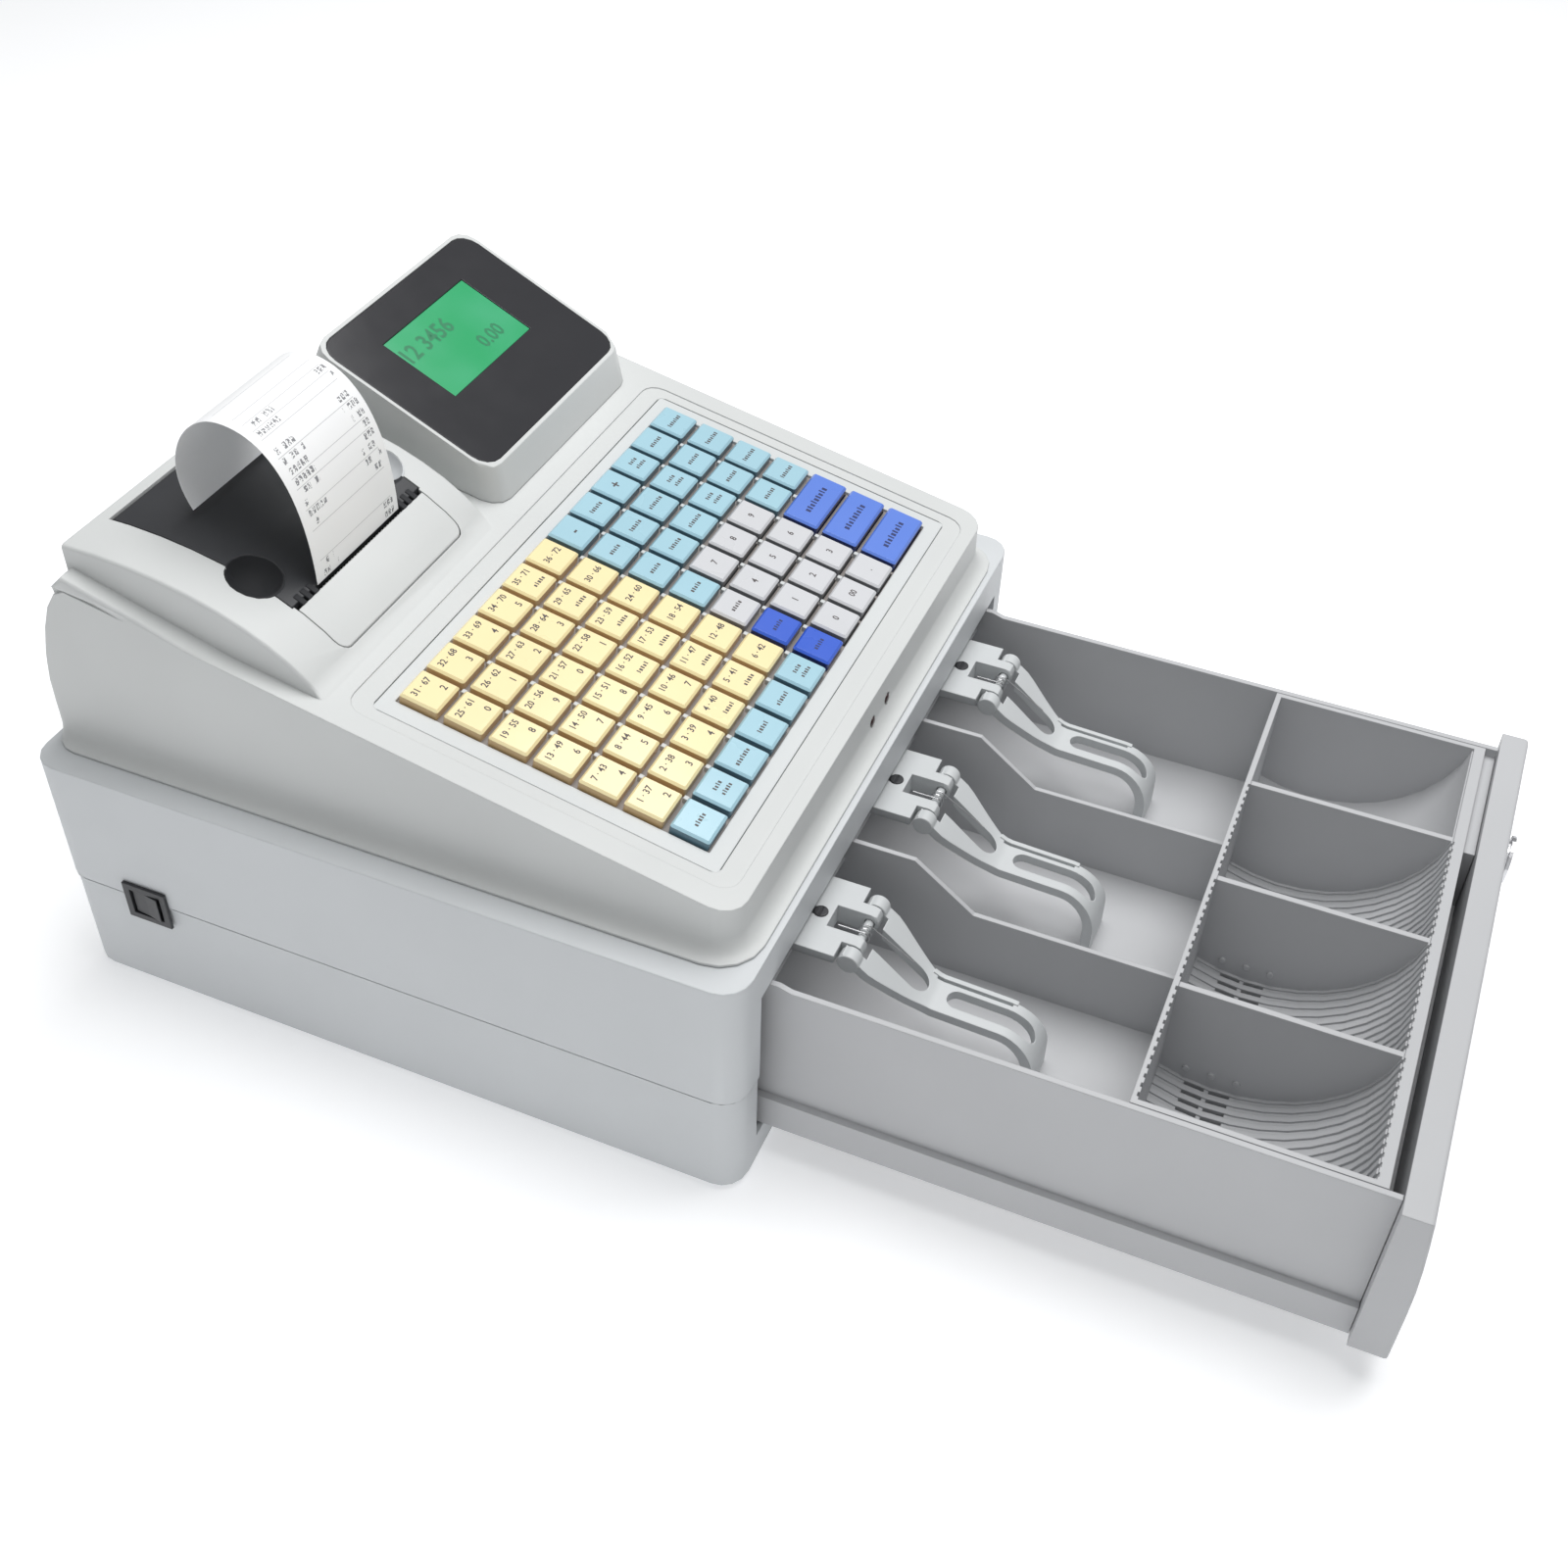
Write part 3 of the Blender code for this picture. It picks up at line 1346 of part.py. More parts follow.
def case_form(name, inset):
    half = HOUSING_WIDTH / 2 - CASE_INSET - inset
    wide = half if inset else half + FOOT_SWEEP + OVERRUN
    body = prism(name, case_outline(inset), "X", -wide, wide)
    front, back = deep(CASE_TOP_FRONT) + inset, deep(CASE_BACK_LOW) - inset
    low = DECK_Z - inset - 2 * OVERRUN
    sweep = 0 if inset else FOOT_SWEEP
    common(body, plan_block(name + "_plan", half, front, back, sweep))
    if not inset:
        round_sharp(body, CASE_EDGE)
        spread = sweep + OVERRUN
        deck = DECK_Z + SEAT_GAP
        below = tray_box(name + "_below", half + spread, front - spread, back + OVERRUN, low, deck)
        cut(body, below)
        join(body, shoulder(name + "_shoulder", -half))
    arch = prism(
        name + "_arch", arch_outline(inset), "X", LEFT_X + ARCH_LEFT + inset, LEFT_X + ARCH_RIGHT - inset
    )
    if not inset:
        root = above(ARCH_ROOT) + SEAT_GAP
        round_edges(arch, ARCH_EDGE, lambda a, b: min(a.z, b.z) > root and abs(a.x - b.x) < SEAT_GAP, 2)
    return join(body, arch)


def door_outline(grow):
    """The paper door from above: a rectangle with a round finger grip on each side."""
    half = DOOR_WIDTH / 2 + grow
    front = deep(DOOR_FRONT) - grow
    back = deep(DOOR_BACK) + grow
    radius = GRIP_RADIUS + grow
    centre_x = DOOR_WIDTH / 2 + GRIP_REACH - GRIP_RADIUS
    centre_y = deep(GRIP_PLACE)
    meet = atan2(sqrt(radius**2 - (half - centre_x) ** 2), half - centre_x)
    right = []
    for step in range(GRIP_STEPS + 1):
        angle = -meet + 2 * meet * step / GRIP_STEPS
        right.append((centre_x + radius * cos(angle), centre_y + radius * sin(angle)))
    right = [(half, front)] + right + [(half, back)]
    left = [(-x, y) for x, y in reversed(right)]
    return [(PRINTER_X + x, y) for x, y in right + left]


def cover_plan(grow, back):
    """The cover plate from above: round corners in front, square ones at the paper slot."""
    half = COVER_WIDTH / 2 + grow
    left, right = PRINTER_X - half, PRINTER_X + half
    front = deep(COVER_FRONT) - grow
    corner = COVER_CORNER + grow
    outline = rounded_outline(left, front, right, back + corner + OVERRUN, corner, CASE_CORNER_STEPS)
    rounded = [point for point in outline if point[1] < front + corner + SEAT_GAP]
    return rounded + [(right, back + grow), (left, back + grow)]


def slope_frame(name):
    return empty(name, (0, deep(CASE_TOP_FRONT), above(CASE_TOP_HEIGHT)), CASE_TILT)


def on_slope(item, frame):
    item.parent = frame
    return item


def make_upper_case(frame):
    case = case_form("upper_case", 0)
    cut(case, case_form("case_inside", SKIN))
    top = above(ARCH_BACK_Z) + OVERRUN
    cut(case, prism("door_opening", door_outline(DOOR_GAP), "Z", above(ARCH_ROOT), top))
    cut(case, prism("cover_opening", cover_opening_outline(), "Z", above(ARCH_ROOT), top))
    half = OPENING_HALF_WIDTH
    outline = rounded_outline(-half, OPENING_FRONT, half, OPENING_BACK, OPENING_CORNER, 2)
    keys = prism("keyboard_opening", outline, "Z", -SKIN - OVERRUN, OVERRUN)
    cut(case, on_slope(keys, frame), case_line(frame))
    for number in range(LAMP_COUNT):
        hole = rod(
            f"lamp_hole_{number}",
            LAMP_RADIUS + LAMP_HOLE_GAP,
            "Y",
            deep(0),
            deep(CASE_TOP_FRONT) + SKIN + OVERRUN,
            (LAMP_X - number * LAMP_SPACING, above(CASE_TOP_HEIGHT) - LAMP_DROP),
            14,
        )
        cut(case, hole)
    join(case, *hinge_blocks())
    cut(case, hinge_sockets())
    return case_grey(case)


def case_line(frame):
    """The fine moulded line that runs round the keyboard on the slope of the case."""
    half = -LEFT_X - CASE_LINE_LEFT
    rings = []
    for grow, depth in ((0, CASE_LINE_DEPTH), (-CASE_LINE_WIDTH, CASE_LINE_DEPTH + OVERRUN)):
        outline = rounded_outline(
            -half - grow,
            CASE_LINE_FRONT - grow,
            half + grow,
            CASE_LINE_BACK + grow,
            CASE_LINE_CORNER + grow,
            CASE_CORNER_STEPS,
        )
        rings.append(prism("case_line", outline, "Z", -depth, OVERRUN if grow == 0 else 2 * OVERRUN))
    return on_slope(cut(*rings), frame)


def cover_opening_outline():
    return cover_plan(DOOR_GAP, deep(DOOR_FRONT))


def hinge_blocks():
    """Two lugs inside the arch that hold the trunnions of the paper door."""
    blocks = []
    inner = DOOR_WIDTH / 2 + DOOR_GAP + SEAT_GAP
    y, z = door_hinge()
    roof = below_arch(SKIN / 2, y - HINGE_BLOCK_DEPTH / 2, y + HINGE_BLOCK_DEPTH / 2)
    low = z - HINGE_BLOCK_DROP
    outline = roof + [(roof[-1][0], low), (roof[0][0], low)]
    for side in (-1, 1):
        ends = sorted((PRINTER_X + side * inner, PRINTER_X + side * (inner + TRUNNION_LENGTH + SKIN)))
        blocks.append(prism(f"hinge_block_{side}", outline, "X", *ends))
    return blocks


def hinge_sockets():
    reach = DOOR_WIDTH / 2 + TRUNNION_LENGTH + SEAT_GAP
    ends = (PRINTER_X - reach, PRINTER_X + reach)
    return rod("hinge_sockets", TRUNNION_RADIUS + SEAT_GAP, "X", *ends, door_hinge(), 14)


def arch_band(name, upper, lower, front, back, half):
    """A curved plate that follows the arch between two depths below its surface."""
    top = below_arch(upper, front, back)
    under = below_arch(lower, front, back)
    return prism(name, top + under[::-1], "X", PRINTER_X - half, PRINTER_X + half)


def make_printer_cover():
    """The plate in front of the paper slot, hooked under the case along its lower edge."""
    front = deep(COVER_FRONT)
    back = deep(COVER_BACK)
    half = COVER_WIDTH / 2
    cover = arch_band("printer_cover", 0, DOOR_SKIN, front - OVERRUN, back + OVERRUN, half + OVERRUN)
    plan = prism("cover_corners", cover_plan(0, back), "Z", above(ARCH_ROOT), above(ARCH_BACK_Z) + OVERRUN)
    common(cover, plan)
    tuck = SKIN + FIT_GAP
    low = tuck + COVER_LIP / 2
    flat = half - COVER_CORNER
    web = arch_band("cover_web", DOOR_SKIN / 2, low, front + SEAT_GAP, front + COVER_LIP, flat)
    lip = arch_band("cover_lip", tuck, low, front - COVER_LIP / 2, front + COVER_LIP, flat)
    join(cover, web, lip)
    return case_grey(cover)


def door_hinge():
    """The axis of the paper door, inside the bead along its back edge."""
    y = deep(DOOR_BACK) - DOOR_BEAD
    return y, below_arch(0, y, y + OVERRUN)[0][1] - DOOR_BEAD


def make_paper_door():
    front = deep(DOOR_FRONT)
    axis = door_hinge()
    half = DOOR_WIDTH / 2
    wide = half + GRIP_REACH + OVERRUN
    door = arch_band("paper_door", 0, DOOR_SKIN, front - OVERRUN, axis[0], wide)
    plan = prism("door_plan", door_outline(0), "Z", above(ARCH_ROOT), above(ARCH_BACK_Z) + OVERRUN)
    bead = rod("door_bead", DOOR_BEAD, "X", PRINTER_X - half, PRINTER_X + half, axis, 16)
    reach = half + TRUNNION_LENGTH
    pin = rod("door_trunnions", TRUNNION_RADIUS, "X", PRINTER_X - reach, PRINTER_X + reach, axis, 12)
    join(common(door, plan), bead, pin, platen_ear(-1), platen_ear(1))
    set_origin(door, (PRINTER_X, *axis))
    return black_plastic(door)


def platen_ear(side):
    """A cheek below the door that carries one end of the platen."""
    y = deep(PLATEN_Y)
    z = above(PLATEN_Z)
    radius = PLATEN_RADIUS
    roof = below_arch(DOOR_SKIN / 2, y - radius, y + 2 * radius)
    points = list(roof)
    for step in range(DOOR_EAR_STEPS + 1):
        angle = -pi * step / DOOR_EAR_STEPS
        points.append((y + radius * cos(angle), z + radius * sin(angle)))
    inner = PAPER_WIDTH / 2 + FIT_GAP
    ends = sorted((PRINTER_X + side * inner, PRINTER_X + side * (inner + DOOR_EAR_THICK)))
    ear = prism(f"platen_ear_{side}", points, "X", *ends)
    reach = (ends[0] - OVERRUN, ends[1] + OVERRUN)
    return cut(ear, rod(f"platen_bore_{side}", PLATEN_SHAFT_RADIUS + SEAT_GAP, "X", *reach, (y, z), 14))


def make_receipt():
    """A strip of paper that rises from the slot, arches back and hangs over the door."""
    slot = deep(DOOR_FRONT) - SEAT_GAP - RECEIPT_THICK / 2
    top = (deep(RECEIPT_TOP_Y), above(RECEIPT_TOP_Z))
    rise = bezier(
        (slot, above(RECEIPT_FOOT_Z)),
        (deep(RECEIPT_RISE_Y), above(RECEIPT_RISE_Z)),
        (deep(RECEIPT_CREST_Y), above(RECEIPT_TOP_Z)),
        top,
    )
    fall = bezier(
        top,
        (deep(RECEIPT_OVER_Y), above(RECEIPT_TOP_Z)),
        (deep(RECEIPT_BACK_Y), above(RECEIPT_BACK_Z)),
        (deep(RECEIPT_END_Y), above(RECEIPT_END_Z)),
    )
    path = rise[:-1] + fall
    outline = ribbon(path, RECEIPT_THICK)
    half = PAPER_WIDTH / 2
    strip = prism("receipt_strip", outline, "X", PRINTER_X - half, PRINTER_X + half)
    return paint(strip, (0.93, 0.93, 0.93), 0.7)


def bezier(a, b, c, d):
    points = []
    for step in range(RECEIPT_STEPS + 1):
        t = step / RECEIPT_STEPS
        weights = ((1 - t) ** 3, 3 * t * (1 - t) ** 2, 3 * t * t * (1 - t), t**3)
        points.append(tuple(sum(w * p[i] for w, p in zip(weights, (a, b, c, d))) for i in (0, 1)))
    return points


def ribbon(path, thickness):
    sides = ([], [])
    for i, (y, z) in enumerate(path):
        (ay, az), (by, bz) = path[max(i - 1, 0)], path[min(i + 1, len(path) - 1)]
        length = hypot(by - ay, bz - az)
        across = ((az - bz) / length * thickness / 2, (by - ay) / length * thickness / 2)
        sides[0].append((y + across[0], z + across[1]))
        sides[1].append((y - across[0], z - across[1]))
    return sides[0] + sides[1][::-1]


def make_platen():
    y = deep(PLATEN_Y)
    z = above(PLATEN_Z)
    half = PAPER_WIDTH / 2
    platen = rod("platen_roller", PLATEN_RADIUS, "X", PRINTER_X - half, PRINTER_X + half, (y, z), 20)
    left = gear_plane()[0]
    shaft = rod(
        "platen_shaft", PLATEN_SHAFT_RADIUS, "X", left, PRINTER_X + half + DOOR_EAR_THICK + SINK, (y, z), 12
    )
    join(platen, shaft)
    set_origin(platen, (PRINTER_X, y, z))
    return paint(smooth(platen), (0.03, 0.03, 0.03), 0.85)


def gear_plane():
    """The left and right faces of both gears, just outside the printer chassis."""
    right = PRINTER_X - chassis_half() - SEAT_GAP * 2
    return right - GEAR_FACE, right


def chassis_half():
    return PAPER_WIDTH / 2 + FIT_GAP + DOOR_EAR_THICK + FIT_GAP + CHASSIS_WALL


def gear(name, teeth, centre, turn):
    pitch = GEAR_MODULE * teeth / 2
    outline = []
    for tooth in range(teeth):
        middle = turn + 2 * pi * tooth / teeth
        for radius, share, side in (
            (pitch - GEAR_MODULE * GEAR_ROOT_SHARE, TOOTH_ROOT_SHARE, -1),
            (pitch + GEAR_MODULE * GEAR_TIP_SHARE, TOOTH_TIP_SHARE, -1),
            (pitch + GEAR_MODULE * GEAR_TIP_SHARE, TOOTH_TIP_SHARE, 1),
            (pitch - GEAR_MODULE * GEAR_ROOT_SHARE, TOOTH_ROOT_SHARE, 1),
        ):
            angle = middle + side * share * pi / teeth
            outline.append((centre[0] + radius * cos(angle), centre[1] + radius * sin(angle)))
    return prism(name, outline, "X", *gear_plane())


def motor_axis():
    spacing = GEAR_MODULE * (PLATEN_TEETH + MOTOR_TEETH) / 2
    return (deep(PLATEN_Y) + spacing * sin(MOTOR_LEAN), above(PLATEN_Z) - spacing * cos(MOTOR_LEAN))


def make_gears():
    centre = (deep(PLATEN_Y), above(PLATEN_Z))
    axis = motor_axis()
    towards = atan2(axis[1] - centre[1], axis[0] - centre[0])
    left, right = gear_plane()
    wheel = gear("platen_gear", PLATEN_TEETH, centre, towards)
    reach = (left - OVERRUN, right + OVERRUN)
    cut(wheel, rod("platen_gear_bore", PLATEN_SHAFT_RADIUS + SEAT_GAP, "X", *reach, centre, 14))
    set_origin(wheel, (PRINTER_X, *centre))
    paint(wheel, (0.7, 0.7, 0.68), 0.5)
    pinion = gear("motor_gear", MOTOR_TEETH, axis, towards + pi + pi / MOTOR_TEETH)
    end = left - MOTOR_FLANGE - SEAT_GAP - OVERRUN
    shaft = rod("motor_gear_shaft", MOTOR_SHAFT_RADIUS, "X", end, right - SINK, axis, 12)
    join(pinion, shaft)
    set_origin(pinion, (PRINTER_X, *axis))
    paint(pinion, (0.75, 0.72, 0.6), 0.4)


def make_motor():
    axis = motor_axis()
    right = gear_plane()[0] - SEAT_GAP
    left = right - MOTOR_FLANGE
    motor = rod("feed_motor", MOTOR_RADIUS, "X", left - MOTOR_LENGTH, left + SINK, axis, 24)
    low = above(SPACER_LOW)
    flange = prism(
        "motor_flange",
        [
            (deep(SPACER_FRONT), low),
            (deep(SPACER_BACK), low),
            (deep(SPACER_BACK), above(SPACER_HIGH)),
            (axis[0] + MOTOR_RADIUS, axis[1]),
            (axis[0] + MOTOR_RADIUS / 2, axis[1] + MOTOR_RADIUS),
            (axis[0] - MOTOR_RADIUS / 2, axis[1] + MOTOR_RADIUS),
            (axis[0] - MOTOR_RADIUS, axis[1]),
            (deep(SPACER_FRONT), above(SPACER_HIGH)),
        ],
        "X",
        left,
        right,
    )
    join(motor, flange)
    end = left - OVERRUN - 2 * SEAT_GAP
    bore = rod("motor_bore", MOTOR_SHAFT_RADIUS + SEAT_GAP, "X", end, right + OVERRUN, axis, 14)
    return steel(smooth(cut(motor, bore)))


def head_frame():
    """The middle of the print head's upper face and the direction from the platen to it."""
    away = Vector((-cos(pi / 4), -sin(pi / 4)))
    platen = Vector((deep(PLATEN_Y), above(PLATEN_Z)))
    return platen + away * (PLATEN_RADIUS + SEAT_GAP), away


def plate_outline(depth_start, depth_end, half):
    face, away = head_frame()
    along = Vector((-away.y, away.x))
    corners = (
        face + away * depth_start + along * half,
        face + away * depth_start - along * half,
        face + away * depth_end - along * half,
        face + away * depth_end + along * half,
    )
    return [tuple(p) for p in corners]


def make_print_head():
    half = HEAD_LENGTH / 2
    head = prism(
        "print_head", plate_outline(0, HEAD_THICK, HEAD_WIDTH / 2), "X", PRINTER_X - half, PRINTER_X + half
    )
    return paint(head, (0.5, 0.45, 0.35), 0.35, 0.4)


def make_chassis():
    """The printer frame on the deck: a trough for the roll, a sloping seat for the head, two end walls."""
    face, away = head_frame()
    along = Vector((-away.y, away.x))
    seat = face + away * (HEAD_THICK + SEAT_GAP)
    upper = seat - along * HEAD_WIDTH / 2
    lower = seat + along * HEAD_WIDTH / 2
    upper, lower = (upper, lower) if upper.y > lower.y else (lower, upper)
    bottom = DECK_Z + SEAT_GAP
    front = deep(CHASSIS_FRONT)
    outline = [
        (front, bottom),
        (deep(CHASSIS_BACK), bottom),
        (deep(CHASSIS_BACK), above(CHASSIS_TOP)),
        (lower.x + CHASSIS_WALL * 2, above(CHASSIS_TOP)),
        (lower.x + CHASSIS_WALL * 2, lower.y),
        tuple(lower),
        tuple(upper),
        (front, upper.y),
    ]
    half = chassis_half()
    chassis = prism("printer_chassis", outline, "X", PRINTER_X - half, PRINTER_X + half)
    inner = half - CHASSIS_WALL
    trough_radius = ROLL_RADIUS + ROLL_GAP
    centre = (deep(ROLL_Y), above(ROLL_Z))
    trough = rod("roll_trough", trough_radius, "X", PRINTER_X - inner, PRINTER_X + inner, centre, 28)
    mouth = box(
        "roll_mouth",
        (PRINTER_X - inner, centre[0] - trough_radius, centre[1]),
        (PRINTER_X + inner, centre[0] + trough_radius, above(CHASSIS_TOP) + OVERRUN),
    )
    hollow = box(
        "chassis_hollow",
        (PRINTER_X - inner, front + CHASSIS_WALL, bottom - OVERRUN),
        (PRINTER_X + inner, deep(CHASSIS_BACK) - CHASSIS_WALL, centre[1] - trough_radius - CHASSIS_WALL),
    )
    cut(chassis, trough, mouth, hollow)
    spacer = box(
        "motor_spacer",
        (gear_plane()[0], deep(SPACER_FRONT), above(SPACER_LOW)),
        (PRINTER_X - half + SINK, deep(SPACER_BACK), above(SPACER_HIGH)),
    )
    join(chassis, spacer)
    return paint(chassis, (0.08, 0.08, 0.085), 0.5)


def make_paper_roll():
    half = PAPER_WIDTH / 2
    centre = (deep(ROLL_Y), above(ROLL_Z))
    roll = rod("paper_roll", ROLL_RADIUS, "X", PRINTER_X - half, PRINTER_X + half, centre, 32)
    reach = half + OVERRUN
    core = rod("roll_core", ROLL_CORE_RADIUS, "X", PRINTER_X - reach, PRINTER_X + reach, centre, 16)
    set_origin(cut(roll, core), (PRINTER_X, *centre))
    return paint(smooth(roll), (0.92, 0.92, 0.92), 0.7)


def make_tear_bar():
    """A serrated steel strip behind the rear edge of the cover."""
    width = TEAR_WIDTH / TEAR_TEETH
    top = below_arch(0, deep(COVER_BACK), deep(COVER_BACK) + OVERRUN)[0][1] - SEAT_GAP
    left = PRINTER_X - TEAR_WIDTH / 2
    outline = [(left, top - TEAR_HEIGHT), (left + TEAR_WIDTH, top - TEAR_HEIGHT)]
    for tooth in range(TEAR_TEETH, 0, -1):
        outline.append((left + width * tooth, top - TEAR_TOOTH))
        outline.append((left + width * (tooth - 1 / 2), top))
    outline.append((left, top - TEAR_TOOTH))
    back = deep(COVER_BACK) + SEAT_GAP
    bar = prism("tear_bar", outline, "Y", back, back + TEAR_THICK)
    return steel(bar)


def key_cap(name, x, y, width, low):
    cap = box(
        name,
        (x - width / 2, y - KEY_SIZE_Y / 2, low),
        (x + width / 2, y + KEY_SIZE_Y / 2, KEY_RISE),
    )
    return round_edges(cap, KEY_CHAMFER, lambda a, b: min(a.z, b.z) > KEY_RISE - SEAT_GAP, 1)


def key_places():
    """Each key as (row from the front, first column, columns wide, finish)."""
    for row in range(KEY_ROWS):
        column = 0
        while column < KEY_COLUMNS:
            wide = 2 if row < 3 and column == 10 else 1
            yield row, column, wide, key_finish(row, column)
            column += wide


def key_finish(row, column):
    if column < 6:
        return "pale_blue" if row == 0 else "yellow"
    if row > 3:
        return "pale_blue"
    if column >= 10:
        return "blue" if row < 3 else "pale_blue"
    if column > 6:
        return "grey"
    return {0: "blue", 1: "blue", 2: "grey", 3: "pale_blue"}[row]


KEY_COLOURS = {
    "yellow": (0.93, 0.78, 0.42),
    "pale_blue": (0.46, 0.72, 0.84),
    "grey": (0.66, 0.67, 0.69),
    "blue": (0.08, 0.17, 0.62),
}


def key_spot(row, column, wide):
    x = (column + (wide - 1) / 2 - (KEY_COLUMNS - 1) / 2) * KEY_PITCH_X
    return x, FRONT_ROW + row * KEY_PITCH_Y, KEY_SIZE_X + (wide - 1) * KEY_PITCH_X


def key_moves(row, column, finish):
    """The number pad and the wide function keys travel one by one."""
    return row < 4 and (7 <= column <= 9 or (column == 10 and row < 3)) and finish in ("grey", "blue")


def make_keyboard(frame):
    low = -SKIN - SEAT_GAP - MAT_THICK
    mat = box(
        "key_mat",
        (-OPENING_HALF_WIDTH - MAT_BORDER, OPENING_FRONT - MAT_BORDER, low),
        (OPENING_HALF_WIDTH + MAT_BORDER, OPENING_BACK + MAT_BORDER, low + MAT_THICK),
    )
    fixed = None
    wells = None
    number = 0
    for row, column, wide, finish in key_places():
        x, y, width = key_spot(row, column, wide)
        if key_moves(row, column, finish):
            number += 1
            cap = key_cap(f"key_{number:02d}", x, y, width, low)
            set_origin(cap, (x, y, 0))
            paint(on_slope(cap, frame), KEY_COLOURS[finish], 0.35)
            gap = KEY_WELL_GAP
            well = box(
                f"key_well_{number}",
                (x - width / 2 - gap, y - KEY_SIZE_Y / 2 - gap, low - OVERRUN),
                (x + width / 2 + gap, y + KEY_SIZE_Y / 2 + gap, OVERRUN),
            )
            wells = well if wells is None else merged(wells, well)
        else:
            cap = chamfered_box(x, y, width, low + SINK)
            fixed = cap if fixed is None else merged(fixed, cap)
    join(mat, on_slope(fixed, frame))
    cut(mat, on_slope(wells, frame))
    for post in board_posts(low):
        join(mat, on_slope(post, frame))
    return paint(on_slope(mat, frame), (0.55, 0.58, 0.6), 0.5)


def chamfered_box(x, y, width, low):
    """A fixed key as one plain frustum on a block."""
    work = bmesh.new()
    half_x, half_y = width / 2, KEY_SIZE_Y / 2
    middle = (low + KEY_RISE) / 2
    size = (2 * half_x, 2 * half_y, KEY_RISE - low)
    bmesh.ops.create_cube(
        work, size=1, matrix=Matrix.Translation((x, y, middle)) @ Matrix.Diagonal((*size, 1))
    )
    top = [e for e in work.edges if min(v.co.z for v in e.verts) > KEY_RISE - SEAT_GAP]
    bmesh.ops.bevel(work, geom=top, offset=KEY_CHAMFER, segments=1, affect="EDGES", profile=1 / 2)
    return finish_mesh("fixed_key", work)


def board_posts(low):
    """Pegs below the mat that hold the key board."""
    posts = []
    for x in (-OPENING_HALF_WIDTH + BOARD_POST, OPENING_HALF_WIDTH - BOARD_POST):
        for y in (OPENING_FRONT + BOARD_POST, OPENING_BACK - BOARD_POST):
            posts.append(
                box(
                    "board_post",
                    (x - BOARD_POST / 2, y - BOARD_POST / 2, board_top() + SEAT_GAP),
                    (x + BOARD_POST / 2, y + BOARD_POST / 2, low + SINK),
                )
            )
    return posts


def board_top():
    return -SKIN - SEAT_GAP - MAT_THICK - KEY_TRAVEL - 2 * SEAT_GAP


def make_key_board(frame):
    board = box(
        "key_board",
        (-OPENING_HALF_WIDTH, OPENING_FRONT, board_top() - BOARD_THICK),
        (OPENING_HALF_WIDTH, OPENING_BACK, board_top()),
    )
    return board_green(on_slope(board, frame))


def display_frame(name):
    return empty(name, (DISPLAY_X, deep(DISPLAY_GLASS_Y), above(DISPLAY_GLASS_Z)), DISPLAY_TILT)


def display_outline():
    """The display housing from the side, seated on the slope of the case."""
    rim = DISPLAY_RIM
    lift = SEAT_GAP / cos(CASE_TILT)
    base_y = CASE_TOP_FRONT + DISPLAY_BASE * cos(CASE_TILT)
    top_front = (DISPLAY_GLASS_Y - rim * cos(DISPLAY_TILT), DISPLAY_GLASS_Z - rim * sin(DISPLAY_TILT))
    length = DISPLAY_GLASS_LENGTH + rim
    top_back = (
        DISPLAY_GLASS_Y + length * cos(DISPLAY_TILT),
        DISPLAY_GLASS_Z + length * sin(DISPLAY_TILT),
    )
    points = (
        (base_y, slope_height(base_y) + lift),
        (DISPLAY_BACK, slope_height(DISPLAY_BACK) + lift),
        top_back,
        top_front,
    )
    return [(deep(y), above(z)) for y, z in points]


def make_display_housing(frame):
    half = DISPLAY_GLASS_WIDTH / 2 + DISPLAY_RIM
    outline = display_outline()
    housing = prism("display_housing", outline, "X", DISPLAY_X - half, DISPLAY_X + half)
    ends = [Vector(p) for p in outline]

    def upright(a, b):
        if abs(a.x - b.x) > SEAT_GAP:
            return False
        pair = [min(range(4), key=lambda i: (ends[i] - Vector((v.y, v.z))).length) for v in (a, b)]
        return sorted(pair) in ([0, 3], [1, 2])

    round_edges(housing, DISPLAY_CORNER, upright, 3)
    cut(housing, glass_solid("display_recess", frame, SEAT_GAP, -GLASS_THICK - SEAT_GAP, OVERRUN))
    pocket = box(
        "lcd_pocket",
        (LCD_SHIFT - LCD_WIDTH / 2 - SEAT_GAP, LCD_FRONT - SEAT_GAP, -LCD_DROP - LCD_THICK - SEAT_GAP),
        (LCD_SHIFT + LCD_WIDTH / 2 + SEAT_GAP, LCD_FRONT + LCD_LENGTH + SEAT_GAP, OVERRUN),
    )
    cut(housing, on_slope(pocket, frame))
    return case_grey(housing)


def glass_solid(name, frame, grow, low, top):
    half = DISPLAY_GLASS_WIDTH / 2 + grow
    outline = rounded_outline(
        -half, -grow, half, DISPLAY_GLASS_LENGTH + grow, DISPLAY_CORNER + grow, DISPLAY_CORNER_STEPS
    )
    return on_slope(prism(name, outline, "Z", low, top), frame)


def make_display_glass(frame):
    glass = glass_solid("display_window", frame, 0, -GLASS_THICK, 0)
    hole = box(
        "lcd_hole",
        (LCD_SHIFT - LCD_WIDTH / 2 - SEAT_GAP, LCD_FRONT - SEAT_GAP, -GLASS_THICK - OVERRUN),
        (LCD_SHIFT + LCD_WIDTH / 2 + SEAT_GAP, LCD_FRONT + LCD_LENGTH + SEAT_GAP, OVERRUN),
    )
    return paint(cut(glass, on_slope(hole, frame)), (0.015, 0.015, 0.018), 0.15)


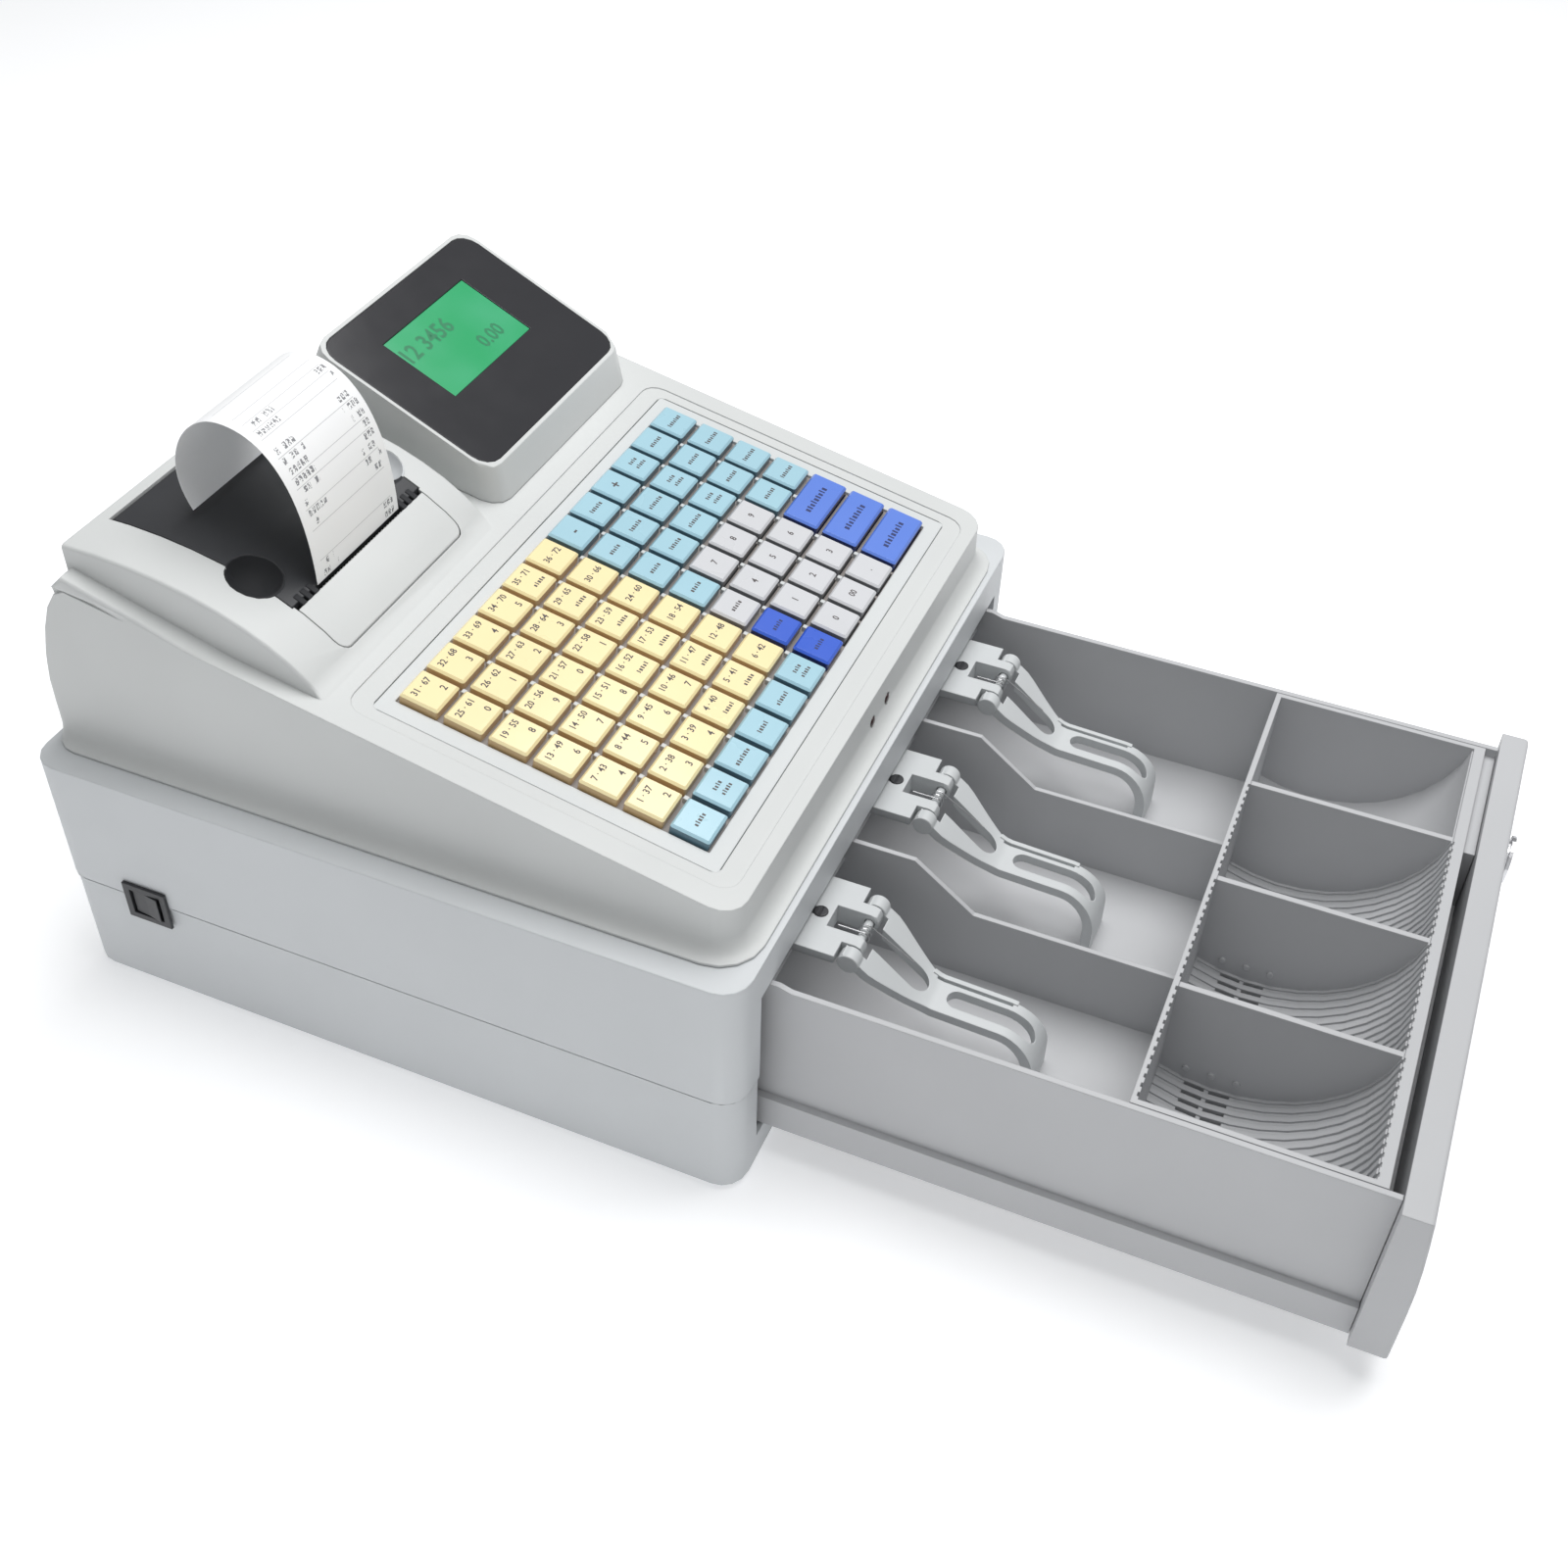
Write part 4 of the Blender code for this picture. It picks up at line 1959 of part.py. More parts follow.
def make_lcd(frame):
    panel = box(
        "lcd_panel",
        (LCD_SHIFT - LCD_WIDTH / 2, LCD_FRONT, -LCD_DROP - LCD_THICK),
        (LCD_SHIFT + LCD_WIDTH / 2, LCD_FRONT + LCD_LENGTH, -LCD_DROP),
    )
    return paint(on_slope(panel, frame), (0.08, 0.5, 0.24), 0.3)


def make_light_guide():
    """One clear moulding behind the front edge of the case that ends in two small lamps."""
    face = deep(CASE_TOP_FRONT) - LAMP_PROUD
    height = above(CASE_TOP_HEIGHT) - LAMP_DROP
    inner = deep(CASE_TOP_FRONT) + SKIN + SEAT_GAP
    guide = box(
        "status_light_guide",
        (LAMP_X - LAMP_SPACING - LAMP_RADIUS, inner, height - LAMP_RADIUS),
        (LAMP_X + LAMP_RADIUS, inner + LAMP_BAR, height + LAMP_RADIUS),
    )
    for number in range(LAMP_COUNT):
        x = LAMP_X - number * LAMP_SPACING
        lamp = rod(f"lamp_{number}", LAMP_RADIUS, "Y", face, inner + LAMP_BAR / 2, (x, height), 14)
        round_edges(lamp, LAMP_RADIUS / 2, lambda a, b: max(a.y, b.y) < face + SEAT_GAP, 2)
        join(guide, lamp)
    return paint(smooth(guide), (0.05, 0.03, 0.03), 0.2)


def make_switch():
    front, back = deep(SWITCH_FRONT), deep(SWITCH_BACK)
    low, top = high(SWITCH_LOW), high(SWITCH_HIGH)
    housing = box(
        "switch_housing",
        (LEFT_X - SWITCH_BEZEL, front, low),
        (LEFT_X - SEAT_GAP, back, top),
    )
    body = box(
        "switch_body",
        (LEFT_X - SWITCH_BEZEL / 2, front + SWITCH_RIM, low + SWITCH_RIM),
        (LEFT_X + SWITCH_DEPTH, back - SWITCH_RIM, top - SWITCH_RIM),
    )
    join(housing, body)
    inner = SWITCH_RIM + SWITCH_WALL
    well = box(
        "rocker_well",
        (LEFT_X - SWITCH_BEZEL - OVERRUN, front + inner, low + inner),
        (LEFT_X + SWITCH_DEPTH - SWITCH_WALL, back - inner, top - inner),
    )
    black_plastic(cut(housing, well))
    y = (front + back) / 2
    z = (low + top) / 2
    half_y = (back - front) / 2 - inner - ROCKER_GAP
    half_z = (top - low) / 2 - inner - FIT_GAP
    dip = half_y * tan(ROCKER_TILT)
    face = LEFT_X - SWITCH_BEZEL
    pivot_x = face + ROCKER_DEPTH / 2
    points = [
        (face - dip * 3 / 4, y - half_y),
        (face + dip / 4, y),
        (face + dip * 3 / 4, y + half_y),
        (face + ROCKER_DEPTH * 3 / 4, y + half_y * 3 / 4),
        (face + ROCKER_DEPTH * 3 / 4, y - half_y * 3 / 4),
    ]
    rocker = prism("power_rocker", points, "Z", z - half_z, z + half_z)
    set_origin(rocker, (pivot_x, y, z))
    black_plastic(rocker)


def make_inlet():
    """The mains inlet in the back wall, with its pocket and three blades."""
    half = INLET_WIDTH / 2
    low, top = high(INLET_FLOOR), high(INLET_FLOOR + INLET_HEIGHT)
    inner = BACK_Y - WALL - SEAT_GAP
    left, right = INLET_X - half, INLET_X + half
    inlet = box("power_inlet", (left, inner - INLET_FLANGE / 2, low), (right, inner, top))
    body = box(
        "inlet_body",
        (INLET_X - half + INLET_FLANGE, inner - INLET_DEPTH + WALL, low + INLET_FLANGE),
        (INLET_X + half - INLET_FLANGE, BACK_Y - SEAT_GAP, top - INLET_FLANGE),
    )
    join(inlet, body)
    wall = INLET_FLANGE + SWITCH_WALL
    pocket = box(
        "inlet_pocket",
        (INLET_X - half + wall, BACK_Y - INLET_POCKET, low + wall),
        (INLET_X + half - wall, BACK_Y + OVERRUN, top - wall),
    )
    cut(inlet, pocket)
    z = (low + top) / 2
    for number in (-1, 0, 1):
        x = INLET_X + number * PRONG_SPACING
        prong = box(
            f"inlet_prong_{number}",
            (x - PRONG_WIDTH / 2, BACK_Y - INLET_POCKET - SINK, z - PRONG_HEIGHT / 2),
            (x + PRONG_WIDTH / 2, BACK_Y - INLET_POCKET / 3, z + PRONG_HEIGHT / 2),
        )
        join(inlet, prong)
    return black_plastic(inlet)


def make_power_supply():
    low = DECK_Z + SEAT_GAP
    left = SUPPLY_LEFT
    front = deep(SUPPLY_FRONT)
    supply = box(
        "power_supply",
        (left, front, low),
        (left + SUPPLY_WIDTH, front + SUPPLY_DEPTH, low + SUPPLY_HEIGHT),
    )
    pitch = SUPPLY_WIDTH / (SUPPLY_RIBS + 1)
    for number in range(SUPPLY_RIBS):
        x = left + pitch * (number + 1)
        slot = box(
            f"supply_slot_{number}",
            (x - SUPPLY_RIB / 2, front + SUPPLY_RIB * 3, low + SUPPLY_HEIGHT - SUPPLY_RIB),
            (x + SUPPLY_RIB / 2, front + SUPPLY_DEPTH - SUPPLY_RIB * 3, low + SUPPLY_HEIGHT + OVERRUN),
        )
        cut(supply, slot)
    return paint(supply, (0.5, 0.5, 0.5), 0.4, 0.8)


def make_mainboard():
    low = DECK_Z + SEAT_GAP
    front = deep(MAIN_FRONT)
    top = low + MAIN_POST + BOARD_THICK
    board = box(
        "main_board",
        (MAIN_LEFT, front, low + MAIN_POST),
        (MAIN_LEFT + MAIN_WIDTH, front + MAIN_DEPTH, top),
    )
    inset = MAIN_POST
    for x in (MAIN_LEFT + inset, MAIN_LEFT + MAIN_WIDTH - inset):
        for y in (front + inset, front + MAIN_DEPTH - inset):
            post = rod("main_post", MAIN_POST / 2, "Z", low, low + MAIN_POST + SINK / 2, (x, y), 8)
            join(board, post)
    for number in range(CHIP_COUNT):
        x = MAIN_LEFT + MAIN_WIDTH * (number + 1) / (CHIP_COUNT + 1)
        y = front + MAIN_DEPTH / 2
        chip = box(
            f"chip_{number}",
            (x - CHIP_SIZE / 2, y - CHIP_SIZE / 2, top - BOARD_THICK / 2),
            (x + CHIP_SIZE / 2, y + CHIP_SIZE / 2, top + CHIP_THICK),
        )
        socket = box(
            f"socket_{number}",
            (x - CONNECTOR_LENGTH / 2, front + CONNECTOR_WIDTH, top - BOARD_THICK / 2),
            (x + CONNECTOR_LENGTH / 2, front + 2 * CONNECTOR_WIDTH, top + CONNECTOR_HEIGHT),
        )
        join(board, chip, socket)
    return board_green(board)


def latch_pivot():
    """The pin of the latch lever, behind and below the closed drawer's strike."""
    closed_back = deep(TRAY_BACK) + TRAVEL
    return (closed_back + STRIKE_REACH + LATCH_PIVOT_BACK, high(STRIKE_HEIGHT) - LATCH_PIVOT_DROP)


def make_latch():
    closed_back = deep(TRAY_BACK) + TRAVEL
    pivot = latch_pivot()
    reach = closed_back + STRIKE_REACH
    low = high(STRIKE_HEIGHT) - STRIKE_LIP
    bar = LATCH_BAR
    outline = [
        (pivot[0] + bar, pivot[1] - bar),
        (pivot[0] + bar, pivot[1] + bar),
        (reach - SLIDE_GAP, low - SLIDE_GAP),
        (reach - SLIDE_GAP, high(STRIKE_HEIGHT) - SLIDE_GAP),
        (reach - SLIDE_GAP - bar / 2, high(STRIKE_HEIGHT) - SLIDE_GAP),
        (reach - SLIDE_GAP - bar, low - SLIDE_GAP),
        (reach - SLIDE_GAP - bar, low - bar),
        (pivot[0] - bar, pivot[1] - bar),
    ]
    half = LATCH_WIDTH / 2
    released = [turned(point, pivot, LATCH_SWING) for point in outline]
    lever = prism("latch_lever", released, "X", LATCH_X - half, LATCH_X + half)
    reach_out = half + SEAT_GAP + SOLENOID_CHEEK
    pin = rod("latch_pin", LATCH_PIN_RADIUS, "X", LATCH_X - reach_out, LATCH_X + reach_out, pivot, 12)
    join(lever, pin)
    set_origin(lever, (LATCH_X, *pivot))
    return steel(lever)


def turned(point, pivot, angle):
    """A (y, z) point turned about the pivot so that what lies in front of it goes down."""
    y, z = point[0] - pivot[0], point[1] - pivot[1]
    return (pivot[0] + y * cos(angle) - z * sin(angle), pivot[1] + y * sin(angle) + z * cos(angle))


def make_solenoid():
    """The release magnet on the floor of the housing, with two cheeks for the lever's pin."""
    pivot = latch_pivot()
    low = FLOOR_Z + WALL + SEAT_GAP
    back = BACK_Y - WALL - SEAT_GAP
    front = pivot[0] - SOLENOID_REACH
    base_top = low + SOLENOID_BASE
    solenoid = box("latch_solenoid", (-SOLENOID_LEFT, front, low), (SOLENOID_RIGHT, back, base_top))
    inner = LATCH_WIDTH / 2 + SEAT_GAP
    for side in (-1, 1):
        ends = sorted((LATCH_X + side * inner, LATCH_X + side * (inner + SOLENOID_CHEEK)))
        cheek = box(
            f"solenoid_cheek_{side}",
            (ends[0], pivot[0] - LATCH_BAR, base_top - SINK),
            (ends[1], pivot[0] + LATCH_BAR, pivot[1] + LATCH_BAR),
        )
        join(solenoid, cheek)
    ends = (LATCH_X - SOLENOID_LEFT, LATCH_X + SOLENOID_LEFT)
    cut(solenoid, rod("solenoid_bore", LATCH_PIN_RADIUS + SEAT_GAP, "X", *ends, pivot, 14))
    centre = (SOLENOID_RIGHT - SOLENOID_COIL_RADIUS - SINK, base_top + SOLENOID_COIL_RADIUS - SINK / 2)
    coil_back = back - SINK
    coil_front = coil_back - SOLENOID_COIL_LENGTH
    coil = rod("solenoid_coil", SOLENOID_COIL_RADIUS, "Y", coil_front, coil_back, centre, 20)
    core = rod("solenoid_core", SOLENOID_CORE_RADIUS, "Y", front, coil_front + SINK, centre, 14)
    join(solenoid, coil, core)
    return steel(solenoid)


def make_ejector_spring():
    """The spring that pushes the released drawer out, on its boss on the back wall."""
    z = high(EJECTOR_HEIGHT) - EJECTOR_RADIUS - SINK
    back = BACK_Y - WALL - SEAT_GAP - EJECTOR_WIRE / 2
    total = EJECTOR_TURNS * SPRING_POINTS_PER_TURN
    path = []
    for step in range(total + 1):
        angle = 2 * pi * EJECTOR_TURNS * step / total
        path.append(
            (
                EJECTOR_X + EJECTOR_RADIUS * cos(angle),
                back - EJECTOR_LENGTH * step / total,
                z + EJECTOR_RADIUS * sin(angle),
            )
        )
    spring = wire("ejector_spring", path, EJECTOR_WIRE / 2)
    report_gap("ejector_spring", path, EJECTOR_WIRE)
    return steel(smooth(spring))


def build():
    start_scene()
    make_base_pan()
    make_cabinet_cover()
    make_feet()
    make_drawer_tray()
    make_drawer_front()
    make_lock_barrel()
    make_coin_tray()
    for number, x in clip_places():
        make_clip_bracket(number, x)
        make_clip_arm(number, x)
        make_clip_spring(number, x)
    slope = slope_frame("key_plane")
    make_upper_case(slope)
    make_printer_cover()
    make_paper_door()
    make_receipt()
    make_platen()
    make_gears()
    make_motor()
    make_print_head()
    make_chassis()
    make_paper_roll()
    make_tear_bar()
    make_keyboard(slope)
    make_key_board(slope)
    screen = display_frame("display_plane")
    make_display_housing(screen)
    make_display_glass(screen)
    make_lcd(screen)
    make_light_guide()
    make_switch()
    make_inlet()
    make_power_supply()
    make_mainboard()
    make_latch()
    make_solenoid()
    make_ejector_spring()


build()
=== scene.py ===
from math import cos, pi, radians, sin

import bpy
from mathutils import Matrix, Vector


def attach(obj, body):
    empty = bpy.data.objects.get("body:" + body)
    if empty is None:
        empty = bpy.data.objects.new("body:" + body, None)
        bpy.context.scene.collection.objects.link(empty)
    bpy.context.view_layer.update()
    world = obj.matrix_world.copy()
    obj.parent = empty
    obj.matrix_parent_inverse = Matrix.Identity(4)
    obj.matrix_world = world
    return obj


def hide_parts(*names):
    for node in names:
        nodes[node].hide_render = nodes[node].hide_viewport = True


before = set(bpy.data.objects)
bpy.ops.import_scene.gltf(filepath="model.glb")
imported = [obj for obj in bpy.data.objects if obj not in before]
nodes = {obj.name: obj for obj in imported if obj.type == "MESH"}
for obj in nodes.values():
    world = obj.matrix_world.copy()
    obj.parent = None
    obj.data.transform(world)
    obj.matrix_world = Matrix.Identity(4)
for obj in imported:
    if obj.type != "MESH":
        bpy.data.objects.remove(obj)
bpy.ops.object.select_all(action="DESELECT")
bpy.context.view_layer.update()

# Places on the machine, in metres, as in the CAD part
MACHINE_FRONT = -0.03275
MACHINE_BACK = 0.28185
LEFT_SIDE = -0.1578
SEAM = 0.055
DECK = 0.1186
SLOPE_TILT = radians(11.8)
SLOPE_ORIGIN = Vector((0, MACHINE_FRONT + 0.0097, DECK + 0.0215))
SCREEN_TILT = radians(25.8)
SCREEN_ORIGIN = Vector((0.0666, MACHINE_FRONT + 0.1894, DECK + 0.0757))
PRINTER_X = LEFT_SIDE + 0.0925

# How a CAD piece is made fit to be smoothed
MERGE_DISTANCE = 0.00001
FLAT_ANGLE = radians(0.4)
SMOOTH_ANGLE = 32


# ---------------------------------------------------------------- workshop helpers

def alone(piece):
    bpy.ops.object.select_all(action="DESELECT")
    piece.select_set(True)
    bpy.context.view_layer.objects.active = piece


def fix_place():
    bpy.ops.object.transform_apply(location=True, rotation=True, scale=True)


def block(name, low, top):
    size = [b - a for a, b in zip(low, top)]
    middle = [(a + b) / 2 for a, b in zip(low, top)]
    bpy.ops.object.select_all(action="DESELECT")
    bpy.ops.mesh.primitive_cube_add(size=1, location=middle, scale=size)
    piece = bpy.context.object
    piece.name = name
    fix_place()
    return piece


def turning(name, radius, length, middle, axis="Z", sides=32):
    turn = {"X": (0, pi / 2, 0), "Y": (pi / 2, 0, 0), "Z": (0, 0, 0)}[axis]
    bpy.ops.object.select_all(action="DESELECT")
    bpy.ops.mesh.primitive_cylinder_add(
        vertices=sides, radius=radius, depth=length, location=middle, rotation=turn
    )
    piece = bpy.context.object
    piece.name = name
    fix_place()
    return piece


def choose_edges(piece, test):
    """Goes into edit mode with the edges selected whose two ends pass the test."""
    alone(piece)
    bpy.ops.object.mode_set(mode="EDIT")
    bpy.ops.mesh.select_mode(type="EDGE")
    bpy.ops.mesh.select_all(action="DESELECT")
    bpy.ops.object.mode_set(mode="OBJECT")
    spots = piece.data.vertices
    for edge in piece.data.edges:
        edge.select = test(spots[edge.vertices[0]].co, spots[edge.vertices[1]].co)
    bpy.ops.object.mode_set(mode="EDIT")


def done():
    bpy.ops.object.mode_set(mode="OBJECT")


def round_over(piece, test, width, segments=3):
    choose_edges(piece, test)
    bpy.ops.mesh.bevel(offset=width, segments=segments, affect="EDGES", clamp_overlap=True)
    done()
    return piece


def soften(piece, angle=SMOOTH_ANGLE):
    alone(piece)
    bpy.ops.object.shade_smooth_by_angle(angle=radians(angle))
    weigh = piece.modifiers.new("even_normals", "WEIGHTED_NORMAL")
    weigh.keep_sharp = True
    bpy.ops.object.modifier_apply(modifier=weigh.name)
    return piece


def carve(piece, tool):
    """Cuts the tool's shape out of the piece and throws the tool away."""
    change = piece.modifiers.new("carve", "BOOLEAN")
    change.operation = "DIFFERENCE"
    change.solver = "EXACT"
    change.object = tool
    alone(piece)
    bpy.ops.object.modifier_apply(modifier=change.name)
    bpy.data.objects.remove(tool, do_unlink=True)
    return piece


def joined(name, pieces):
    bpy.ops.object.select_all(action="DESELECT")
    for piece in pieces:
        piece.select_set(True)
    bpy.context.view_layer.objects.active = pieces[0]
    if len(pieces) > 1:
        bpy.ops.object.join()
    pieces[0].name = name
    return pieces[0]


def twin(piece, name, move=(0, 0, 0)):
    alone(piece)
    bpy.ops.object.duplicate(linked=False)
    copy = bpy.context.object
    copy.name = name
    copy.data.transform(Matrix.Translation(move))
    return copy


def seat(piece, matrix):
    piece.data.transform(matrix)
    return piece


def coat(piece, *finishes):
    piece.data.materials.clear()
    for finish in finishes:
        piece.data.materials.append(finish)
    return piece


def cast(node, name, finish, body, slot, angle=SMOOTH_ANGLE):
    """A merged copy of a CAD piece with smooth curves, which stands for the piece itself."""
    alone(nodes[node])
    bpy.ops.object.duplicate(linked=False)
    piece = bpy.context.object
    piece.name = name
    bpy.ops.object.mode_set(mode="EDIT")
    bpy.ops.mesh.select_all(action="SELECT")
    bpy.ops.mesh.customdata_custom_splitnormals_clear()
    bpy.ops.mesh.remove_doubles(threshold=MERGE_DISTANCE)
    bpy.ops.mesh.dissolve_limited(angle_limit=FLAT_ANGLE)
    done()
    soften(piece, angle)
    return fit(coat(piece, finish), body, slot, node)


def fit(piece, body, slot, *stands_for):
    """The body that carries the piece, its material slot, which is not used, and the CAD pieces that it
    stands for.
    """
    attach(piece, body)
    if stands_for:
        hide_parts(*stands_for)
    return piece


SLOPE = Matrix.Translation(SLOPE_ORIGIN) @ Matrix.Rotation(SLOPE_TILT, 4, "X")
SCREEN = Matrix.Translation(SCREEN_ORIGIN) @ Matrix.Rotation(SCREEN_TILT, 4, "X")


# ---------------------------------------------------------------- finishes

def shade(red, green, blue):
    """An sRGB colour of 0 to 255 as the linear colour that a shader takes."""
    out = []
    for value in (red, green, blue):
        value /= 255
        out.append(value / 12.92 if value <= 0.04045 else ((value + 0.055) / 1.055) ** 2.4)
    return (*out, 1)


def scaled(colour, factor):
    return tuple(min(1, c * factor) for c in colour[:3]) + (1,)


class Finish:
    """A material with short words for its nodes."""

    def __init__(self, name):
        self.material = bpy.data.materials.new(name)
        self.material.use_nodes = True
        self.nodes = self.material.node_tree.nodes
        self.links = self.material.node_tree.links
        self.shader = self.nodes["Principled BSDF"]
        self.places = self.nodes.new("ShaderNodeTexCoord")

    def put(self, kind, **settings):
        node = self.nodes.new(kind)
        for key, value in settings.items():
            setattr(node, key, value)
        return node

    def wire(self, out, into):
        self.links.new(out, into)

    def noise(self, scale, detail=2.0, rough=0.5):
        node = self.put("ShaderNodeTexNoise")
        node.inputs["Scale"].default_value = scale
        node.inputs["Detail"].default_value = detail
        node.inputs["Roughness"].default_value = rough
        self.wire(self.places.outputs["Object"], node.inputs["Vector"])
        return node.outputs["Fac"]

    def spread(self, value, low, high, start=0.0, end=1.0):
        node = self.put("ShaderNodeMapRange")
        self.wire(value, node.inputs["Value"])
        node.inputs["From Min"].default_value = start
        node.inputs["From Max"].default_value = end
        node.inputs["To Min"].default_value = low
        node.inputs["To Max"].default_value = high
        return node.outputs["Result"]

    def mixed(self, factor, first, second):
        node = self.put("ShaderNodeMix", data_type="RGBA")
        for socket, value in ((node.inputs[0], factor), (node.inputs[6], first), (node.inputs[7], second)):
            if isinstance(value, bpy.types.NodeSocket):
                self.wire(value, socket)
            else:
                socket.default_value = value
        return node.outputs[2]

    def sum(self, operation, first, second=0.0, third=None):
        node = self.put("ShaderNodeMath", operation=operation)
        for socket, value in zip(node.inputs, (first, second, third)):
            if isinstance(value, bpy.types.NodeSocket):
                self.wire(value, socket)
            elif value is not None:
                socket.default_value = value
        return node.outputs[0]

    def bumped(self, height, strength, distance, normal=None):
        node = self.put("ShaderNodeBump")
        node.inputs["Strength"].default_value = strength
        node.inputs["Distance"].default_value = distance
        self.wire(height, node.inputs["Height"])
        if normal is not None:
            self.wire(normal, node.inputs["Normal"])
        self.wire(node.outputs["Normal"], self.shader.inputs["Normal"])

    def soft_edge(self, radius):
        node = self.put("ShaderNodeBevel", samples=6)
        node.inputs["Radius"].default_value = radius
        return node.outputs["Normal"]

    def edge_mask(self, rounded):
        """Near 1 where the rounded normal leaves the face's own, so along the edges, where it masks a
        painted highlight.
        """
        own = self.put("ShaderNodeNewGeometry")
        dot = self.put("ShaderNodeVectorMath", operation="DOT_PRODUCT")
        self.wire(rounded, dot.inputs[0])
        self.wire(own.outputs["Normal"], dot.inputs[1])
        return self.spread(dot.outputs["Value"], 1, 0, 0.72, 0.985)


def moulded(name, colour, rough=0.5, grain=0.05, edge=0.0007, edge_highlight=0.35, clear=0.0):
    """Injection-moulded plastic: fine grain, slightly uneven tone, and a painted highlight that makes it
    paler along its edges.
    """
    f = Finish(name)
    tone = f.mixed(f.spread(f.noise(7, 3), 0, 1, 0.3, 0.7), scaled(colour, 0.955), scaled(colour, 1.03))
    rounded = f.soft_edge(edge)
    # Painted highlight: the colour is lightened to 1.3 times along the edges, by an amount that varies in
    # patches.
    painted_highlight = f.sum("MULTIPLY", f.edge_mask(rounded), f.spread(f.noise(60, 3), edge_highlight * 0.5, edge_highlight, 0.35, 0.65))
    tone = f.mixed(painted_highlight, tone, scaled(colour, 1.3))
    scuffs = f.spread(f.noise(420, 2), 0, 0.25, 0.62, 0.8)
    tone = f.mixed(f.sum("MULTIPLY", scuffs, 0.25), tone, scaled(colour, 0.8))
    f.wire(tone, f.shader.inputs["Base Color"])
    f.wire(f.spread(f.noise(35, 4), rough - 0.05, rough + 0.07, 0.3, 0.7), f.shader.inputs["Roughness"])
    f.bumped(f.noise(1500, 2), grain, 0.0002, rounded)
    f.shader.inputs["Coat Weight"].default_value = clear
    f.shader.inputs["Coat Roughness"].default_value = 0.12
    return f.material


def metal(name, colour, rough, scratch=900, stretch=1.0):
    f = Finish(name)
    f.shader.inputs["Metallic"].default_value = 1.0
    lines = f.put("ShaderNodeMapping")
    lines.inputs["Scale"].default_value = (stretch, 1, 1)
    f.wire(f.places.outputs["Object"], lines.inputs["Vector"])
    grain = f.put("ShaderNodeTexNoise")
    grain.inputs["Scale"].default_value = scratch
    f.wire(lines.outputs["Vector"], grain.inputs["Vector"])
    tone = f.mixed(f.spread(f.noise(90, 3), 0, 1, 0.3, 0.7), scaled(colour, 0.85), scaled(colour, 1.08))
    f.wire(tone, f.shader.inputs["Base Color"])
    f.wire(f.spread(grain.outputs["Fac"], rough * 0.7, rough * 1.4), f.shader.inputs["Roughness"])
    f.bumped(grain.outputs["Fac"], 0.08, 0.00008, f.soft_edge(0.0003))
    return f.material


def glossy(name, colour, rough=0.08):
    f = Finish(name)
    tone = f.mixed(f.spread(f.noise(14, 2), 0, 1, 0.35, 0.65), scaled(colour, 0.97), scaled(colour, 1.05))
    f.wire(tone, f.shader.inputs["Base Color"])
    f.wire(f.spread(f.noise(70, 4), rough, rough * 1.25, 0.4, 0.75), f.shader.inputs["Roughness"])
    f.bumped(f.noise(500, 2), 0.01, 0.0001, f.soft_edge(0.0005))
    return f.material


CASE = moulded("case_grey", shade(211, 213, 212), 0.48)
HOUSING = moulded("housing_grey", shade(209, 212, 214), 0.5)
DRAWER = moulded("drawer_grey", shade(192, 193, 195), 0.52)
CLIP = moulded("clip_grey", shade(205, 208, 209), 0.42, 0.02)
BLACK = moulded("black_plastic", shade(52, 53, 56), 0.4, 0.05, 0.0006, 0.2)
BOWL = moulded("grip_black", shade(44, 45, 48), 0.8, 0.05, 0.0003, 0.1)
RUBBER = moulded("foot_rubber", shade(44, 44, 44), 0.8, 0.12)
PANEL = moulded("keyboard_grey", shade(213, 216, 216), 0.45, 0.03)
# The key bed is darker than the panel as painted shade in the gaps between the keys.
KEY_BED_SHADE = moulded("key_bed_painted_shade", shade(150, 144, 140), 0.6, 0.03)
WINDOW = glossy("window_black", shade(50, 50, 53), 0.16)
STEEL = metal("spring_steel", (0.62, 0.62, 0.63, 1), 0.3)
ZINC = metal("zinc_plate", (0.6, 0.6, 0.6, 1), 0.35, 700, 4)
CHROME = metal("lock_chrome", (0.82, 0.82, 0.84, 1), 0.3, 1500)
ALUMINIUM = metal("supply_aluminium", (0.7, 0.7, 0.71, 1), 0.42, 600, 8)
GEAR = moulded("gear_plastic", shade(232, 228, 214), 0.4, 0.02, 0.0002)
CERAMIC = glossy("ceramic_bar", (0.5, 0.42, 0.3, 1), 0.2)
LAMP = glossy("lamp_red", (0.045, 0.02, 0.02, 1), 0.06)


def board_finish():
    """Green solder resist with paler copper tracks."""
    f = Finish("circuit_green")
    cells = f.put("ShaderNodeTexVoronoi", feature="DISTANCE_TO_EDGE", distance="MANHATTAN")
    cells.inputs["Scale"].default_value = 160
    f.wire(f.places.outputs["Object"], cells.inputs["Vector"])
    track = f.spread(cells.outputs["Distance"], 1, 0, 0.02, 0.06)
    tone = f.mixed(track, (0.012, 0.09, 0.035, 1), (0.05, 0.22, 0.09, 1))
    f.wire(tone, f.shader.inputs["Base Color"])
    f.wire(f.spread(f.noise(50), 0.3, 0.5), f.shader.inputs["Roughness"])
    f.bumped(track, 0.2, 0.0001)
    return f.material


CIRCUIT = board_finish()


